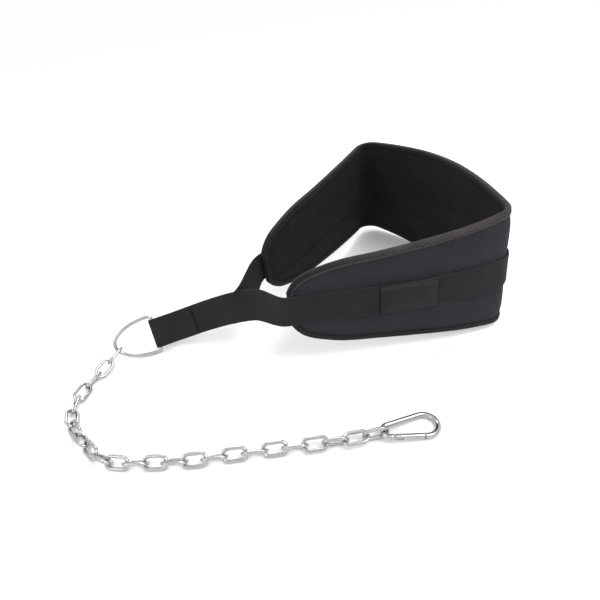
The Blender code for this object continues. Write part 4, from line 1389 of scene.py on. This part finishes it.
def build_gate(surface):
    """The gate bar, slotted over the tongue, with a flat tip for the nose."""
    start, direction, _ = gate_line()
    hinge, pivot, nose = gate_span()
    count = 12
    line = [start + direction * (hinge + (nose - hinge) * step / count) for step in range(count + 1)]
    gate = wire("gate_bar", line, UP, lambda share: HOOK_WIRE / 2, TUBE_SIDES, closed=False)
    origin = start + direction * pivot
    slot_end = TONGUE_HEIGHT / 2 + GATE_SLOT_SPARE
    slot = box_tool(origin + direction * (slot_end - HOOK_WIRE) / 2,
                    (slot_end + HOOK_WIRE, HOOK_WIRE * 2, TONGUE_THICKNESS + 2 * SLOT_GAP), direction)
    tip = box_tool(start + direction * nose, (NOSE_LENGTH, GATE_TIP_HEIGHT, TONGUE_THICKNESS), direction)
    hole = hole_tool(origin, RIVET_DIAMETER / 2 + SLOT_GAP / 2)
    combine(gate, (("DIFFERENCE", slot), ("UNION", tip), ("DIFFERENCE", hole)), 0.00025)
    gate.data.transform(hook_place())
    return dress(gate, surface, "hook_steel", "gate", "hook_gate")


def build_rivet(surface):
    """The gate's rivet, with a low domed head on each side."""
    start, direction, _ = gate_line()
    _, pivot, _ = gate_span()
    face = HOOK_WIRE / 2 + SEAT_GAP / 2
    half = [(0.00001, face + RIVET_HEAD_HEIGHT)]
    for step in range(1, 7):
        angle = math.pi / 2 * step / 6
        half.append((RIVET_HEAD / 2 * math.sin(angle), face + RIVET_HEAD_HEIGHT * math.cos(angle)))
    half.append((RIVET_DIAMETER / 2, face))
    outline = half + [(radius, -height) for radius, height in reversed(half)]
    centre = start + direction * pivot
    sides = 20
    sections = []
    for radius, height in outline:
        sections.append([centre + Vector((radius * math.cos(2 * math.pi * side / sides),
                                          radius * math.sin(2 * math.pi * side / sides), height))
                         for side in range(sides)])
    places = [(height, side / sides * 0.005) for _, height in outline for side in range(sides)]
    rivet = loft("gate_rivet", sections, False, places)
    rivet.data.transform(hook_place())
    return dress(rivet, surface, "hook_steel", "root", "hook_rivet")


# Stage

def build_stage():
    """A plain pale floor, soft light from all round, and the camera."""
    bpy.context.scene.view_settings.view_transform = "Standard"
    bpy.ops.mesh.primitive_plane_add(size=400, location=(0, 0, -0.0002))
    floor = bpy.context.active_object
    floor.name = "floor"
    paint = bpy.data.materials.new("floor")
    paint.use_nodes = True
    shader = paint.node_tree.nodes["Principled BSDF"]
    shader.inputs["Base Color"].default_value = (0.93, 0.93, 0.935, 1)
    shader.inputs["Roughness"].default_value = 0.9
    shader.inputs["Specular IOR Level"].default_value = 0.1
    floor.data.materials.append(paint)

    world = bpy.data.worlds.new("studio")
    world.use_nodes = True
    tree = world.node_tree
    place = tree.nodes.new("ShaderNodeTexCoord")
    split = tree.nodes.new("ShaderNodeSeparateXYZ")
    ramp = tree.nodes.new("ShaderNodeValToRGB")
    ramp.color_ramp.elements[0].color = (0.70, 0.70, 0.71, 1)
    ramp.color_ramp.elements[1].position = 0.75
    ramp.color_ramp.elements[1].color = (1.0, 1.0, 1.0, 1)
    tree.links.new(place.outputs["Generated"], split.inputs[0])
    tree.links.new(split.outputs[2], ramp.inputs[0])
    tree.links.new(ramp.outputs[0], tree.nodes["Background"].inputs[0])
    tree.nodes["Background"].inputs[1].default_value = 1.12
    bpy.context.scene.world = world
    for name, place, size, power in (("key", (0.9, -0.5, 1.5), 0.8, 13), ("fill", (-1.2, -0.8, 1.0), 0.7, 3),
                                     ("back", (-0.1, 1.2, 1.4), 0.7, 9)):
        data = bpy.data.lights.new(name, "AREA")
        data.size = size
        data.energy = power
        light = bpy.data.objects.new(name, data)
        light.location = place
        light.rotation_euler = (Vector((0, 0, 0.05)) - Vector(place)).to_track_quat("-Z", "Y").to_euler()
        bpy.context.scene.collection.objects.link(light)

    elevation = math.radians(CAMERA_ELEVATION)
    roll = math.radians(CAMERA_ROLL)
    right = Vector((1, 0, 0))
    up = Vector((0, math.sin(elevation), math.cos(elevation)))
    forward = Vector((0, math.cos(elevation), -math.sin(elevation)))
    rolled_right = right * math.cos(roll) + up * math.sin(roll)
    rolled_up = up * math.cos(roll) - right * math.sin(roll)
    data = bpy.data.cameras.new("camera")
    data.lens = CAMERA_LENS
    camera = bpy.data.objects.new("camera", data)
    turn = Matrix((rolled_right, rolled_up, -forward)).transposed().to_4x4()
    camera.matrix_world = Matrix.Translation(Vector(CAMERA_PLACE) + SHIFT) @ turn
    bpy.context.scene.collection.objects.link(camera)
    bpy.context.scene.camera = camera


def main():
    build_stage()
    outer = cloth_surface("cover_fabric", (0.0115, 0.0106, 0.0134), (0.0325, 0.0304, 0.0370), 0.0010, 0.85, 0.12, 0.02)
    inner = cloth_surface("lining_fabric", (0.0068, 0.0055, 0.0066), (0.0205, 0.0168, 0.0195), 0.0011, 0.9, 0.1, 0.02)
    # The binding's last colour is painted light on the tape's upper outer side.
    tape = tape_surface("binding", (0.0066, 0.0054, 0.0065), (0.0155, 0.0132, 0.0150), (0.090, 0.079, 0.073))
    webbing = webbing_surface("webbing", (0.0062, 0.0052, 0.0062), (0.0215, 0.0184, 0.0212), (0.036, 0.033, 0.035))
    leather = leather_surface("leather", (0.0026, 0.0017, 0.0028), (0.0125, 0.0105, 0.0130))
    dark_thread = thread_surface("dark_thread", (0.006, 0.0053, 0.006), (0.018, 0.016, 0.018))
    # The tape thread's last colour is painted light on the threads near the band's upper edge.
    tape_thread = thread_surface("tape_thread", (0.009, 0.0078, 0.009), (0.028, 0.0255, 0.0275), (0.165, 0.150, 0.140))
    zinc = steel_surface("zinc", (0.22, 0.22, 0.23), (0.64, 0.64, 0.65), 0.14, 0.34, 0.5)
    polished = steel_surface("polished", (0.24, 0.24, 0.25), (0.62, 0.62, 0.63), 0.08, 0.24, 0.3)

    build_pad(outer, inner)
    build_groove_stitches(dark_thread)
    build_tape(tape)
    build_overlock("outer_overlock", tape_thread, 1)
    build_overlock("inner_overlock", dark_thread, -1)
    build_webbing(webbing)
    build_webbing_stitches(dark_thread)
    build_patch(leather)
    build_ring(polished)
    build_links(zinc)
    build_hook(polished)
    build_gate(polished)
    build_rivet(polished)


main()
